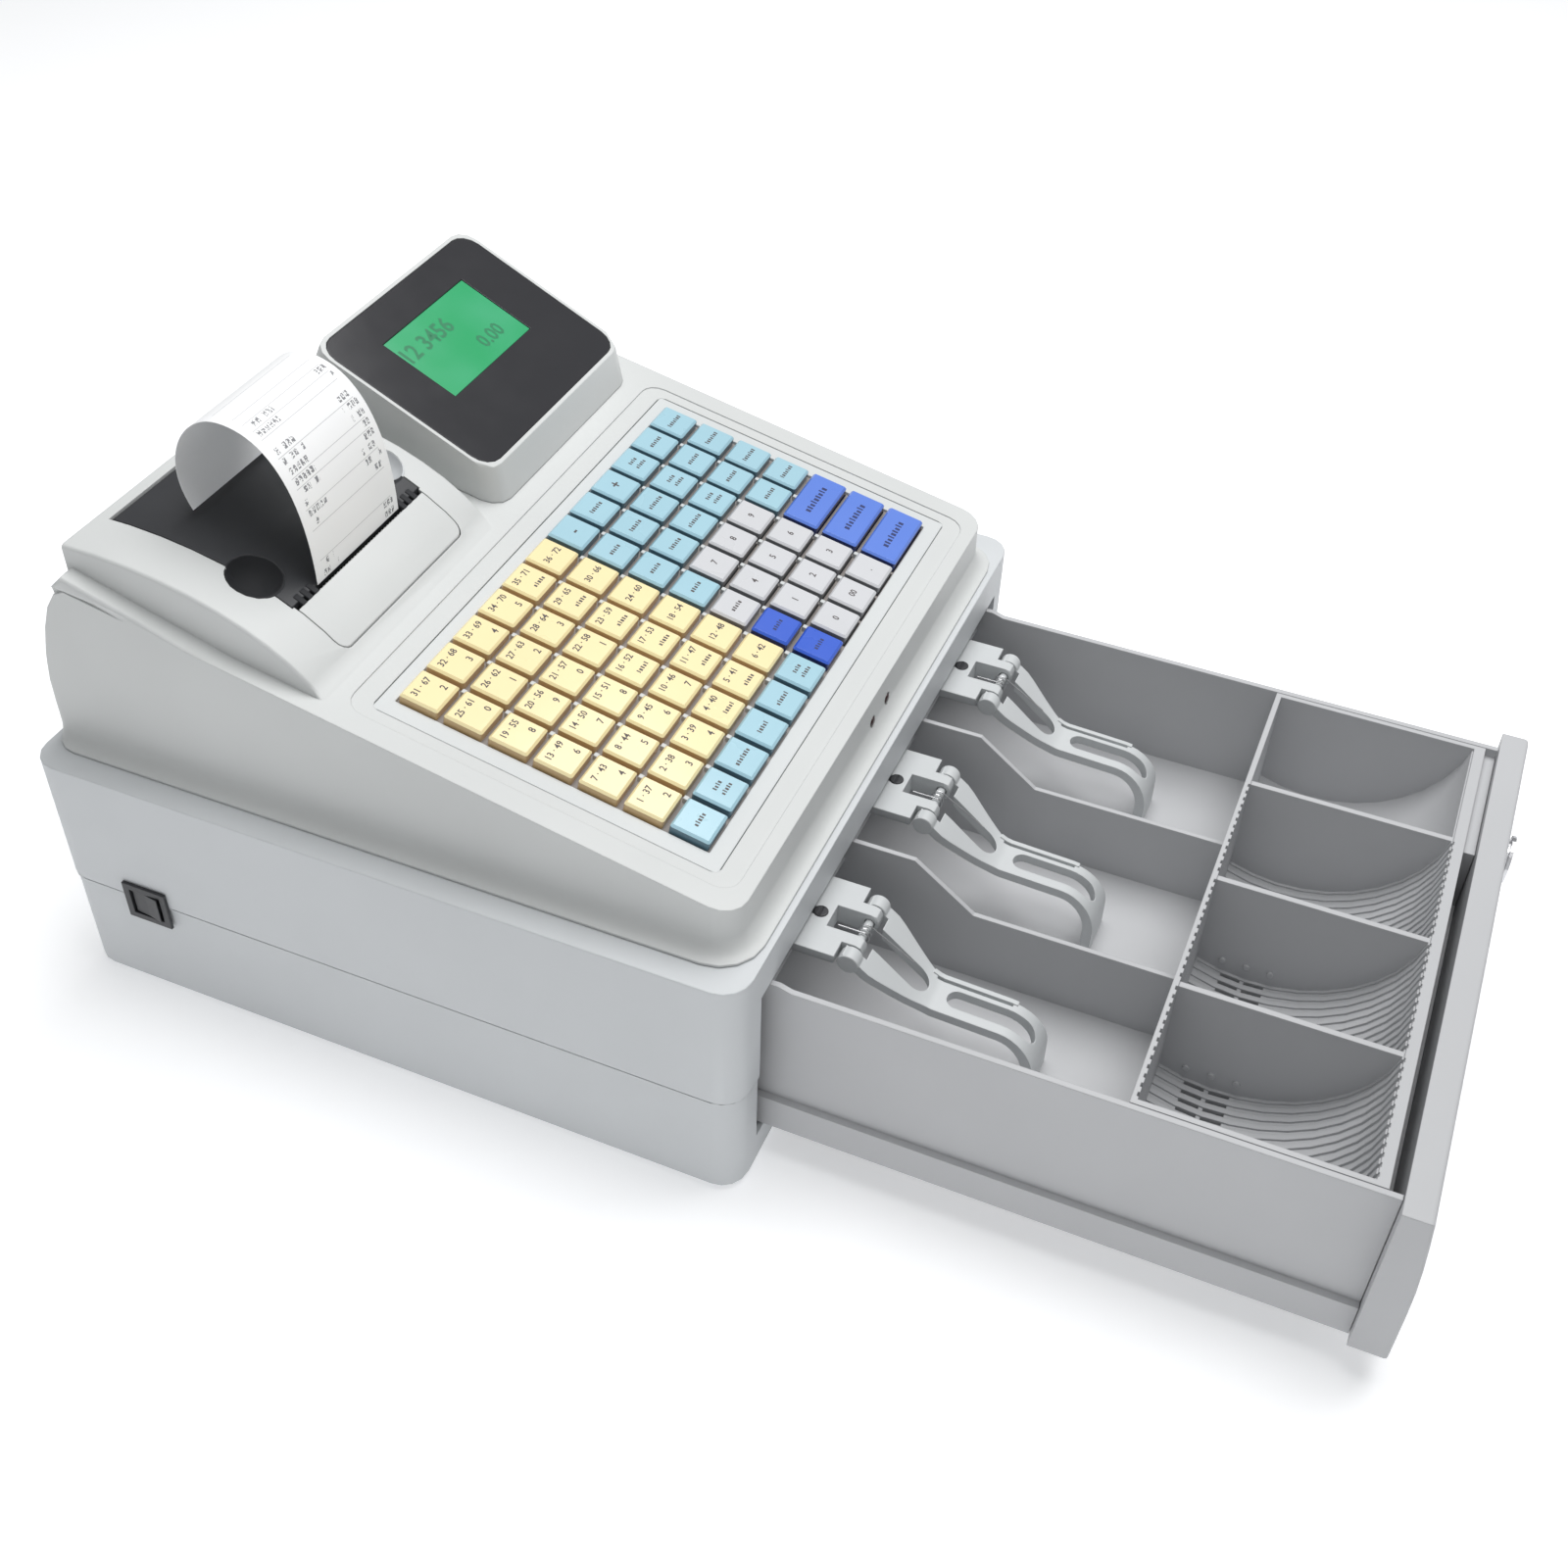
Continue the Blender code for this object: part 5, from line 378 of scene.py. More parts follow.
def paper_finish(name, printed):
    """Thermal paper. The printed side carries rows of small dots in two ragged columns."""
    f = Finish(name)
    white = f.mixed(f.noise(25, 3), shade(243, 244, 245), shade(252, 252, 252))
    f.shader.inputs["Roughness"].default_value = 0.62
    if printed:
        rows = f.put("ShaderNodeSeparateXYZ")
        f.wire(f.places.outputs["UV"], rows.inputs["Vector"])
        across, along = rows.outputs["X"], rows.outputs["Y"]
        white = f.mixed(print_mask(f, across, along), white, shade(104, 105, 110))
    f.wire(white, f.shader.inputs["Base Color"])
    f.bumped(f.noise(260, 4), 0.12, 0.0002)
    return f.material


# The print on the strip, in metres
PRINT_ROW = 0.0044
PRINT_LETTER = 0.0024
PRINT_DOT = 0.0005
PRINT_LEFT, PRINT_RIGHT = 0.0045, 0.0545
RULE_LEFT, RULE_RIGHT = 0.004, 0.0535


def chance(f, first, second, seed):
    """A number from 0 to 1 that stays the same for the same pair and seed."""
    pair = f.put("ShaderNodeCombineXYZ")
    f.wire(first, pair.inputs["X"])
    f.wire(second, pair.inputs["Y"])
    pair.inputs["Z"].default_value = seed
    node = f.put("ShaderNodeTexWhiteNoise", noise_dimensions="3D")
    f.wire(pair.outputs["Vector"], node.inputs["Vector"])
    return node.outputs["Value"]


def between(f, value, low, high):
    above = f.sum("GREATER_THAN", value, low)
    below = f.sum("LESS_THAN", value, high)
    return f.sum("MULTIPLY", above, below)


def print_mask(f, across, along):
    """Where the print head has burnt a dot: across and along are in metres."""
    row_place = f.sum("DIVIDE", along, PRINT_ROW)
    row = f.sum("FLOOR", row_place)
    zero = f.sum("MULTIPLY", row, 0.0)
    inside_row = between(f, f.sum("FRACT", row_place), 0.20, 0.80)
    letter_place = f.sum("DIVIDE", across, PRINT_LETTER)
    letter = f.sum("FLOOR", letter_place)
    in_letter = between(f, f.sum("FRACT", letter_place), 0.14, 0.86)
    left_end = f.sum("MULTIPLY_ADD", chance(f, row, zero, 1.5), 0.012, 0.009)
    right_start = f.sum("MULTIPLY_ADD", chance(f, row, zero, 2.5), -0.006, 0.0490)
    left = between(f, across, PRINT_LEFT, left_end)
    right = between(f, across, right_start, PRINT_RIGHT)
    filled = f.sum("GREATER_THAN", chance(f, letter, row, 3.5), 0.25)
    printed_row = f.sum("GREATER_THAN", chance(f, row, zero, 4.5), 0.34)
    dot_place = [f.sum("FLOOR", f.sum("DIVIDE", way, PRINT_DOT)) for way in (across, along)]
    dot = f.sum("GREATER_THAN", chance(f, *dot_place, 5.5), 0.36)
    mask = f.sum("MAXIMUM", left, right)
    for part in (inside_row, in_letter, filled, printed_row, dot):
        mask = f.sum("MULTIPLY", mask, part)
    rule_row = f.sum("LESS_THAN", chance(f, row, zero, 6.5), 0.3)
    rule = f.sum("MULTIPLY", rule_row, between(f, f.sum("FRACT", row_place), 0.90, 0.97))
    rule = f.sum("MULTIPLY", rule, between(f, across, RULE_LEFT, RULE_RIGHT))
    return f.sum("MULTIPLY", f.sum("MAXIMUM", mask, f.sum("MULTIPLY", rule, 0.5)), 0.85)


PAPER = paper_finish("thermal_paper", False)
PRINTED = paper_finish("printed_paper", True)


def screen_finish():
    """The lit green panel, slightly uneven, with a faint pixel grid."""
    f = Finish("lcd_green")
    tone = f.mixed(f.spread(f.noise(22, 2), 0, 1, 0.35, 0.65), shade(38, 150, 94), shade(62, 158, 112))
    grid = f.put("ShaderNodeTexChecker")
    grid.inputs["Scale"].default_value = 2200
    f.wire(f.places.outputs["Object"], grid.inputs["Vector"])
    tone = f.mixed(f.sum("MULTIPLY", grid.outputs["Fac"], 0.06), tone, shade(30, 120, 70))
    f.wire(tone, f.shader.inputs["Base Color"])
    f.wire(tone, f.shader.inputs["Emission Color"])
    f.shader.inputs["Emission Strength"].default_value = 0.28
    f.shader.inputs["Roughness"].default_value = 0.25
    return f.material


LCD = screen_finish()
LCD_INK = glossy("lcd_segment", shade(44, 128, 88), 0.3)

# Each key tone: the label's colour, then a darker copy of it for the cap's sides, which is painted shade.
KEY_TONES = {
    "yellow": ((253, 234, 180), (216, 184, 134)),
    "pale_blue": ((168, 208, 222), (92, 126, 142)),
    "grey": ((212, 213, 216), (130, 132, 136)),
    "blue": ((98, 134, 224), (46, 62, 124)),
    "deep_blue": ((56, 98, 210), (34, 52, 118)),
}


def key_finishes(name, tone, side):
    """The clear cap's side in a darker colour, which is painted shade, its bevel a little paler, which is
    a painted highlight, and the coloured label under its flat top.
    """
    # The side finish is painted shade; the bevel finish is the label colour lightened as a painted
    # highlight.
    wall = moulded(name + "_side", shade(*side), 0.3, 0.01, 0.0002, 0.1, 0.3)
    bevel = moulded(name + "_bevel", scaled(shade(*tone), 1.04), 0.18, 0.01, 0.0003, 0.5, 0.8)
    label = moulded(name + "_label", shade(*tone), 0.3, 0.01, 0.0002, 0.1, 0.5)
    return wall, bevel, label


KEY_FINISHES = {name: key_finishes(name, *tones) for name, tones in KEY_TONES.items()}
INK = moulded("key_print", shade(84, 78, 78), 0.5, 0.0, 0.0001, 0.0)
PALE_INK = moulded("pale_key_print", shade(40, 52, 104), 0.5, 0.0, 0.0001, 0.0)


# ---------------------------------------------------------------- housing, case and drawer

GROOVE_LOW, GROOVE_TOP = 0.0006, 0.0011
GROOVE_DEPTH = 0.0003
GROOVE_CORNER = 0.0114
CASE_SMOOTH_ANGLE = 55


def outline_block(name, inside, low, top):
    """A block that follows the housing's sides, that much inside them."""
    return block(
        name,
        (LEFT_SIDE + inside, MACHINE_FRONT + inside, SEAM + low),
        (-LEFT_SIDE - inside, MACHINE_BACK - inside, SEAM + top),
    )


def mark_seam(cover):
    """A fine groove round the cover just above the pan, so that their joint shows from above."""
    ring = outline_block("seam_ring", -0.002, GROOVE_LOW, GROOVE_TOP)
    core = outline_block("seam_core", GROOVE_DEPTH, -0.005, 0.005)
    round_over(core, lambda a, b: abs(a.z - b.z) > 0.001, GROOVE_CORNER, 8)
    carve(ring, core)
    return soften(carve(cover, ring))


def dress_shells():
    mark_seam(cast("cabinet_cover", "cover_moulding", HOUSING, "cabinet", "housing_plastic"))
    cast("base_pan", "pan_moulding", HOUSING, "cabinet", "housing_plastic")
    cast("upper_case", "case_moulding", CASE, "cabinet", "case_plastic", CASE_SMOOTH_ANGLE)
    cast("printer_cover", "slot_cover_moulding", CASE, "cabinet", "case_plastic")
    cast("display_housing", "display_moulding", CASE, "cabinet", "case_plastic")
    cast("display_window", "display_pane", WINDOW, "cabinet", "window_black")
    cast("drawer_tray", "drawer_moulding", DRAWER, "drawer", "drawer_plastic")
    cast("drawer_front", "front_moulding", DRAWER, "drawer", "drawer_plastic")
    cast("coin_tray", "coin_moulding", DRAWER, "drawer", "drawer_plastic")
    make_door_details(cast("paper_door", "door_moulding", BLACK, "printer_lid", "black_plastic"))


def dress_kept_nodes():
    finishes = {
        "switch_housing": BLACK, "power_rocker": BLACK, "power_inlet": BLACK, "printer_chassis": BLACK,
        "lcd_panel": LCD, "status_light_guide": LAMP, "platen_roller": RUBBER, "ejector_spring": STEEL,
        "latch_lever": ZINC, "latch_solenoid": ZINC, "tear_bar": ZINC, "feed_motor": ZINC,
        "lock_barrel": CHROME, "motor_gear": GEAR, "platen_gear": GEAR, "paper_roll": PAPER,
        "main_board": CIRCUIT, "key_board": CIRCUIT, "power_supply": ALUMINIUM, "print_head": CERAMIC,
    }
    for number in (1, 2, 3):
        finishes[f"clip_spring_{number}"] = STEEL
    for number in (1, 2, 3, 4):
        finishes[f"rubber_foot_{number}"] = RUBBER
    for node, finish in finishes.items():
        coat(nodes[node], finish)


# ---------------------------------------------------------------- bill clips

CLIP_PLACES = (-0.0846, 0.0, 0.0846)
PIVOT_Y, PIVOT_Z = MACHINE_FRONT - 0.0205, 0.0930
TONGUE_TOP = 0.0730
FOOT_Y = MACHINE_FRONT - 0.0965
BILL_FLOOR = 0.0420
ARM_THICK = 0.0042
FORK_HALF, TONGUE_HALF, FOOT_HALF = 0.0173, 0.0090, 0.0114
FORK_END, TONGUE_START = 0.030, 0.050
FOOT_SPREAD = 0.022
FORK_SLOT_HALF, TONGUE_SLOT_HALF = 0.0056, 0.0044
CHEEK_HALF = 0.0119
LUG_RADIUS, LUG_LENGTH, LUG_OUT = 0.0045, 0.0062, 0.0151
PIN_RADIUS, PIN_LENGTH = 0.0018, 0.030
RIB_HALF, RIB_HEIGHT, RIB_OUT = 0.0011, 0.0040, 0.0090
OVER_ALL = 0.12
ARM_SMOOTH_ANGLE = 34


def ribbon(name, stations, thickness):
    """A strip of plate drawn out station by station (y, z, half width), then given its thickness."""
    y, z, half = stations[0]
    sliver = 0.0001
    bpy.ops.object.select_all(action="DESELECT")
    bpy.ops.mesh.primitive_plane_add(size=1, location=(0, y + sliver / 2, z))
    strip = bpy.context.object
    strip.name = name
    strip.data.transform(Matrix.Diagonal((2 * half, sliver, 1, 1)))
    fix_place()
    choose_edges(strip, lambda a, b: max(a.y, b.y) < y + sliver / 4)
    for (ay, az, aw), (by, bz, bw) in zip(stations, stations[1:]):
        bpy.ops.mesh.extrude_region_move(TRANSFORM_OT_translate={"value": (0, by - ay, bz - az)})
        bpy.ops.transform.resize(value=(bw / aw, 1, 1), center_override=(0, by, bz))
    done()
    plate = strip.modifiers.new("plate_thickness", "SOLIDIFY")
    plate.thickness = thickness
    plate.offset = -1
    plate.use_even_offset = True
    alone(strip)
    bpy.ops.object.modifier_apply(modifier=plate.name)
    return strip


def clip_stations():
    """The top of the arm: down from the pin, level along the tongue, round and down the foot."""
    pin = (PIVOT_Y + 0.0026, PIVOT_Z + 0.0040)
    waist = (MACHINE_FRONT - 0.0530, TONGUE_TOP)
    bend = (FOOT_Y + 0.0160, TONGUE_TOP - 0.0012)
    foot = (FOOT_Y, TONGUE_TOP - 0.0185)
    off_pin = (PIVOT_Y - 0.0060, PIVOT_Z + 0.0020)
    on_waist = (waist[0] + 0.0080, waist[1] + 0.0006)
    path = list(cubic(pin, off_pin, on_waist, waist, 12))
    path += [tuple(a + (b - a) * k / 4 for a, b in zip(waist, bend)) for k in (1, 2, 3)]
    off_bend = (FOOT_Y + 0.0075, bend[1] - 0.0006)
    on_foot = (FOOT_Y + 0.0002, foot[1] + 0.0090)
    path += list(cubic(bend, off_bend, on_foot, foot, 9))
    path += [(FOOT_Y, (foot[1] + BILL_FLOOR) / 2), (FOOT_Y, BILL_FLOOR)]
    for y, z in path:
        yield y, z, clip_half_width(MACHINE_FRONT - y, z)


def clip_half_width(ahead, z):
    """The fork narrows to the tongue, and the tongue widens again down to the foot."""
    if ahead < FORK_END:
        return FORK_HALF
    if ahead < TONGUE_START:
        return FORK_HALF + (TONGUE_HALF - FORK_HALF) * (ahead - FORK_END) / (TONGUE_START - FORK_END)
    down = min(1, max(0, (TONGUE_TOP - 0.002 - z) / FOOT_SPREAD))
    return TONGUE_HALF + (FOOT_HALF - TONGUE_HALF) * down


def make_clip_arm():
    """One bill clip: a fork on its pin, a tongue with a long slot and a rib, and a bent foot."""
    arm = ribbon("clip_model", list(clip_stations()), ARM_THICK)
    behind_pin = PIVOT_Y + 0.02
    carve_slot(arm, FORK_SLOT_HALF, behind_pin, MACHINE_FRONT - 0.0430, 0.06)
    carve_slot(arm, TONGUE_SLOT_HALF, MACHINE_FRONT - 0.0610, MACHINE_FRONT - 0.0890, 0.052)
    cheek_front = (-CHEEK_HALF, MACHINE_FRONT - 0.0262, 0.08)
    carve(arm, block("cheek_room", cheek_front, (CHEEK_HALF, behind_pin, OVER_ALL)))
    groove_front = (0.0066, MACHINE_FRONT - 0.0815, 0.0702)
    carve(arm, block("groove", groove_front, (0.0080, MACHINE_FRONT - 0.0500, OVER_ALL)))
    round_edges(arm, 0.0005)
    level = [
        (y, z + 0.0004, RIB_HALF)
        for y, z, half in clip_stations()
        if MACHINE_FRONT - 0.0835 < y < MACHINE_FRONT - 0.0465
    ]
    rib = ribbon("clip_rib", level, RIB_HEIGHT)
    round_edges(seat(rib, Matrix.Translation((RIB_OUT, 0, 0))), 0.0004)
    parts = [arm, rib]
    for side in (-1, 1):
        lug = turning("lug", LUG_RADIUS, LUG_LENGTH, (side * LUG_OUT, PIVOT_Y, PIVOT_Z), "X", 24)
        parts.append(round_edges(lug, 0.0007))
    parts.append(turning("pin", PIN_RADIUS, PIN_LENGTH, (0, PIVOT_Y, PIVOT_Z), "X", 16))
    return soften(coat(joined("clip_model", parts), CLIP), ARM_SMOOTH_ANGLE)


def carve_slot(piece, half, back, front, low):
    """A slot with round ends, cut straight down from above."""
    carve(piece, block("slot", (-half, front, low), (half, back, OVER_ALL)))
    for y in (back, front):
        carve(piece, turning("slot_end", half, OVER_ALL - low, (0, y, (OVER_ALL + low) / 2), "Z", 24))
    return piece


def round_edges(piece, width):
    edge = piece.modifiers.new("moulded_edges", "BEVEL")
    edge.width, edge.segments, edge.limit_method, edge.angle_limit = width, 2, "ANGLE", radians(50)
    alone(piece)
    bpy.ops.object.modifier_apply(modifier=edge.name)
    return piece


def make_bracket(number, x):
    """The bracket is a plate at the rim with two deeper cheeks that carry the pin."""
    bracket = cast(f"clip_bracket_{number}", f"bracket_moulding_{number}", CLIP, "drawer", "clip_plastic")
    front, back = MACHINE_FRONT - 0.018, MACHINE_FRONT + 0.020
    for left, right in ((-0.022, -0.0118), (0.0118, 0.022)):
        carve(bracket, block("under_plate", (x + left, front, 0.087), (x + right, back, 0.0936)))
    return soften(bracket)


SCREW_RADIUS, SCREW_HEAD, SCREW_Z = 0.0030, 0.0012, 0.0974
SCREW_Y = MACHINE_FRONT - 0.0022


def make_screw():
    """The slotted screw that holds a bracket down."""
    screw = turning("screw_model", SCREW_RADIUS, SCREW_HEAD, (0, SCREW_Y, SCREW_Z), "Z", 24)
    round_over(screw, lambda a, b: min(a.z, b.z) > SCREW_Z + 0.0004, 0.0004, 2)
    slot_front = (-0.0026, SCREW_Y - 0.0004, SCREW_Z + 0.0002)
    carve(screw, block("driver_slot", slot_front, (0.0026, SCREW_Y + 0.0004, SCREW_Z + 0.0016)))
    return soften(coat(screw, BLACK), ARM_SMOOTH_ANGLE)


def make_clips():
    model, screw = make_clip_arm(), make_screw()
    for number, x in enumerate(CLIP_PLACES, 1):
        arm = twin(model, f"clip_arm_moulding_{number}", (x, 0, 0))
        fit(arm, f"clip_arm_{number}", "clip_plastic", f"bill_clip_{number}")
        fit(twin(screw, f"clip_screw_{number}", (x, 0, 0)), "drawer", "black_plastic")
        make_bracket(number, x)
    for piece in (model, screw):
        bpy.data.objects.remove(piece, do_unlink=True)


# ---------------------------------------------------------------- printer door

GRIP_OUT = 0.0425
GRIP_RADIUS = 0.0108
GRIP_DEPTH = 0.0080
GRIP_Y, GRIP_Z = MACHINE_FRONT + 0.2235, DECK + 0.0858
DOOR_HALF = 0.0450
DOOR_TILT = radians(19.5)
TOOTH_Y, TOOTH_Z = MACHINE_FRONT + 0.2064, DECK + 0.0783
TOOTH_TILT = radians(28)
TEETH_OUT = (0.0316, 0.0356, 0.0396)


def ball_shape(name, radius, centre):
    bpy.ops.object.select_all(action="DESELECT")
    bpy.ops.mesh.primitive_uv_sphere_add(segments=40, ring_count=24, radius=radius, location=centre)
    piece = bpy.context.object
    piece.name = name
    fix_place()
    return piece


def grip_bowl(name, side, outer):
    """Half of a finger bowl: the part inside the door's edge or the part outside it."""
    ball = (GRIP_RADIUS**2 + GRIP_DEPTH**2) / (2 * GRIP_DEPTH)
    surface = Vector((PRINTER_X + side * GRIP_OUT, GRIP_Y, GRIP_Z))
    up = Vector((0, -sin(DOOR_TILT), cos(DOOR_TILT)))
    centre = surface + up * (ball - GRIP_DEPTH)
    bowl = ball_shape(name, ball, centre)
    edge = PRINTER_X + side * (DOOR_HALF - 0.0004)
    away = -side if outer else side
    for place, normal in ((surface - up * 0.0002, up), ((edge, 0, 0), (away, 0, 0))):
        alone(bowl)
        bpy.ops.object.mode_set(mode="EDIT")
        bpy.ops.mesh.select_all(action="SELECT")
        bpy.ops.mesh.bisect(plane_co=place, plane_no=normal, clear_outer=True)
        done()
    wall = bowl.modifiers.new("bowl_wall", "SOLIDIFY")
    wall.thickness, wall.offset = 0.0009, 1
    alone(bowl)
    bpy.ops.object.modifier_apply(modifier=wall.name)
    return soften(bowl, 40), centre, ball


def make_door_details(door):
    """Finger bowls half in the door and half in the case, and the teeth at the door's front edge."""
    halves = []
    for side in (-1, 1):
        half, centre, ball = grip_bowl("door_bowl", side, False)
        outer, _, _ = grip_bowl(f"case_bowl_{'left' if side < 0 else 'right'}", side, True)
        carve(door, ball_shape("hollow", ball + 0.0002, centre))
        edge = PRINTER_X + side * DOOR_HALF
        low, top = sorted((edge, edge + side * 0.02))
        carve(door, block("lobe", (low, MACHINE_FRONT + 0.205, 0.15), (top, MACHINE_FRONT + 0.24, 0.25)))
        # The case's half of the left, nearer bowl is coloured black as painted shade: it is grey case
        # plastic in shadow. The right one keeps the housing grey.
        fit(coat(outer, BOWL if side < 0 else HOUSING), "cabinet", "case_plastic")
        halves.append(half)
    for side in (-1, 1):
        for out in TEETH_OUT:
            tooth = block("door_tooth", (-0.0013, -0.0026, -0.0030), (0.0013, 0.0024, 0.0003))
            round_edges(tooth, 0.0003)
            place = Matrix.Translation((PRINTER_X + side * out, TOOTH_Y, TOOTH_Z))
            halves.append(seat(tooth, place @ Matrix.Rotation(TOOTH_TILT, 4, "X")))
    door.data.materials.append(BOWL)
    for half in halves:
        coat(half, BLACK, BOWL)
        for face in half.data.polygons:
            face.material_index = 1
    return joined(door.name, [door] + halves)


# ---------------------------------------------------------------- keyboard

COLUMNS, ROWS = 12, 7
PITCH_X, PITCH_Y = 0.0194, 0.0191
CAP_X, CAP_Y = 0.0170, 0.0166
CAP_TOP, CAP_FOOT = 0.0030, -0.0052
CAP_CORNER, CAP_BEVEL = 0.0010, 0.0012
FIRST_ROW = 0.0310
KEY_GAP = 0.0004
PANEL_HALF, PANEL_FRONT, PANEL_BACK = 0.1238, 0.0149, 0.1603
PANEL_LOW, PANEL_TOP = -0.0050, -0.0006
BED_TOP = -0.0018
POST_HALF, POST_LOW, POST_TOP = 0.0011, -0.0040, 0.0002
CUT_LOW, CUT_TOP = -0.008, 0.002
INK_LIFT = 0.00003
DEPARTMENTS = 36
NUMBER_SIZE, DIGIT_SIZE, SIGN_SIZE = 0.0040, 0.0042, 0.0070
WORD, HALF_WORD, WIDE_WORD = 0.0020, 0.0019, 0.0030


def key_tone(row, column):
    if column < 6:
        return "pale_blue" if row == 0 else "yellow"
    if row > 3:
        return "pale_blue"
    if column >= 10:
        return "blue" if row < 3 else "pale_blue"
    if column > 6:
        return "grey"
    return {0: "deep_blue", 1: "deep_blue", 2: "grey", 3: "pale_blue"}[row]


def key_spots():
    """Every key as row, column, width in columns and tone, from the front left."""
    for row in range(ROWS):
        column = 0
        while column < COLUMNS:
            wide = 2 if row < 3 and column == 10 else 1
            yield row, column, wide, key_tone(row, column)
            column += wide


def key_moves(row, column, wide):
    return row < 4 and 7 <= column <= 9 or wide == 2


def key_middle(row, column, wide):
    return (column + (wide - 1) / 2 - (COLUMNS - 1) / 2) * PITCH_X, FIRST_ROW + row * PITCH_Y


def blank_key(name, width):
    """A clear cap on a square stem: round corners, a flat bevel and a label that fills its top."""
    half_x, half_y = width / 2, CAP_Y / 2
    cap = block(name, (-half_x, -half_y, CAP_FOOT), (half_x, half_y, CAP_TOP))
    round_over(cap, lambda a, b: abs(a.z - b.z) > 0.001, CAP_CORNER, 3)
    round_over(cap, lambda a, b: min(a.z, b.z) > CAP_TOP - 0.0001, CAP_BEVEL, 1)
    coat(cap, *KEY_FINISHES["grey"], INK)
    for face in cap.data.polygons:
        # Side faces take the painted-shade finish, bevel faces the painted-highlight one and the flat top
        # the label.
        face.material_index = 2 if face.normal.z > 0.95 else 1 if face.normal.z > 0.3 else 0
    return soften(cap, 40)


def lettering(text, size, x, y, z, weight=0.02):
    bpy.ops.object.select_all(action="DESELECT")
    bpy.ops.object.text_add(location=(0, 0, 0))
    words = bpy.context.object
    words.data.body = text
    words.data.size = size
    words.data.align_x = "CENTER"
    words.data.align_y = "CENTER"
    words.data.offset = weight * size
    words.data.resolution_u = 2
    bpy.ops.object.convert(target="MESH")
    words = bpy.context.object
    words.data.transform(Matrix.Translation((x, y, z)))
    return words


def bar(x, y, z, length, height):
    bpy.ops.object.select_all(action="DESELECT")
    bpy.ops.mesh.primitive_plane_add(size=1, location=(x, y, z))
    strip = bpy.context.object
    strip.data.transform(Matrix.Diagonal((length, height, 1, 1)))
    fix_place()
    return strip


def printed_marks(row, column, wide, tone, z):
    """Numbers on the department and number keys, rows of plain strokes on the function keys."""
    index = row * COLUMNS + column
    if tone == "yellow":
        number = (row - 1) * 6 + column + 1
        pair = f"{number} · {number + DEPARTMENTS}"
        if column == 5:
            return [lettering(pair, NUMBER_SIZE, 0, 0.0, z)]
        marks = [lettering(pair, NUMBER_SIZE, -0.0004, 0.0036, z)]
        if column == 4 or column == 3 and row in (1, 3):
            return marks + strokes(0.0016, -0.0034, z, 5, WORD, index)
        return marks + [lettering(str(index % 10), DIGIT_SIZE, 0.0042, -0.0036, z)]
    if tone == "grey" and column > 6:
        digits = {0: ("0", "00", "."), 1: "123", 2: "456", 3: "789"}[row]
        return [lettering(digits[column - 7], DIGIT_SIZE, 0, 0, z)]
    if wide == 2:
        return strokes(0, 0, z, 9, WIDE_WORD, index)
    if row == 6 and column in (6, 8):
        return [lettering("+" if column == 8 else "-", SIGN_SIZE, 0, 0, z)]
    if index % 4 == 1:
        upper = strokes(0, HALF_WORD, z, 4, HALF_WORD, index)
        return upper + strokes(0.0006, -HALF_WORD, z, 5, HALF_WORD, index + 3)
    return strokes(0, 0, z, 5 + index % 3, WORD, index)


def strokes(x, y, z, count, height, seed):
    """A word seen from a distance: one short stroke after another, each a little different."""
    step = height * 0.78
    marks = []
    for place in range(count):
        odd = (seed * 7 + place * 5) % 4
        tall = height * (0.72, 1.0, 0.78, 0.9)[odd]
        across = step * (0.62, 0.40, 0.70, 0.52)[odd]
        marks.append(bar(x + (place - (count - 1) / 2) * step, y + (tall - height) / 2, z, across, tall))
    return marks


def make_keys():
    models = {1: blank_key("key_model", CAP_X), 2: blank_key("wide_key_model", CAP_X + PITCH_X)}
    moving = 0
    for row, column, wide, tone in key_spots():
        cap = twin(models[wide], f"cap_{row + 1}_{column + 1}")
        finishes = (*KEY_FINISHES[tone], PALE_INK if tone in ("blue", "deep_blue") else INK)
        for place, finish in enumerate(finishes):
            cap.data.materials[place] = finish
        marks = joined("marks", printed_marks(row, column, wide, tone, CAP_TOP + INK_LIFT))
        coat(marks, *cap.data.materials)
        for face in marks.data.polygons:
            face.material_index = 3
        cap = joined(cap.name, [cap, marks])
        seat(cap, SLOPE @ Matrix.Translation((*key_middle(row, column, wide), 0)))
        if key_moves(row, column, wide):
            moving += 1
            slot = "key_blue" if tone == "blue" else "key_grey"
            fit(cap, f"button_{moving:02d}", slot, f"key_{moving:02d}")
        else:
            fit(cap, "cabinet", "key_mat_grey", "key_mat")
    for model in models.values():
        bpy.data.objects.remove(model, do_unlink=True)


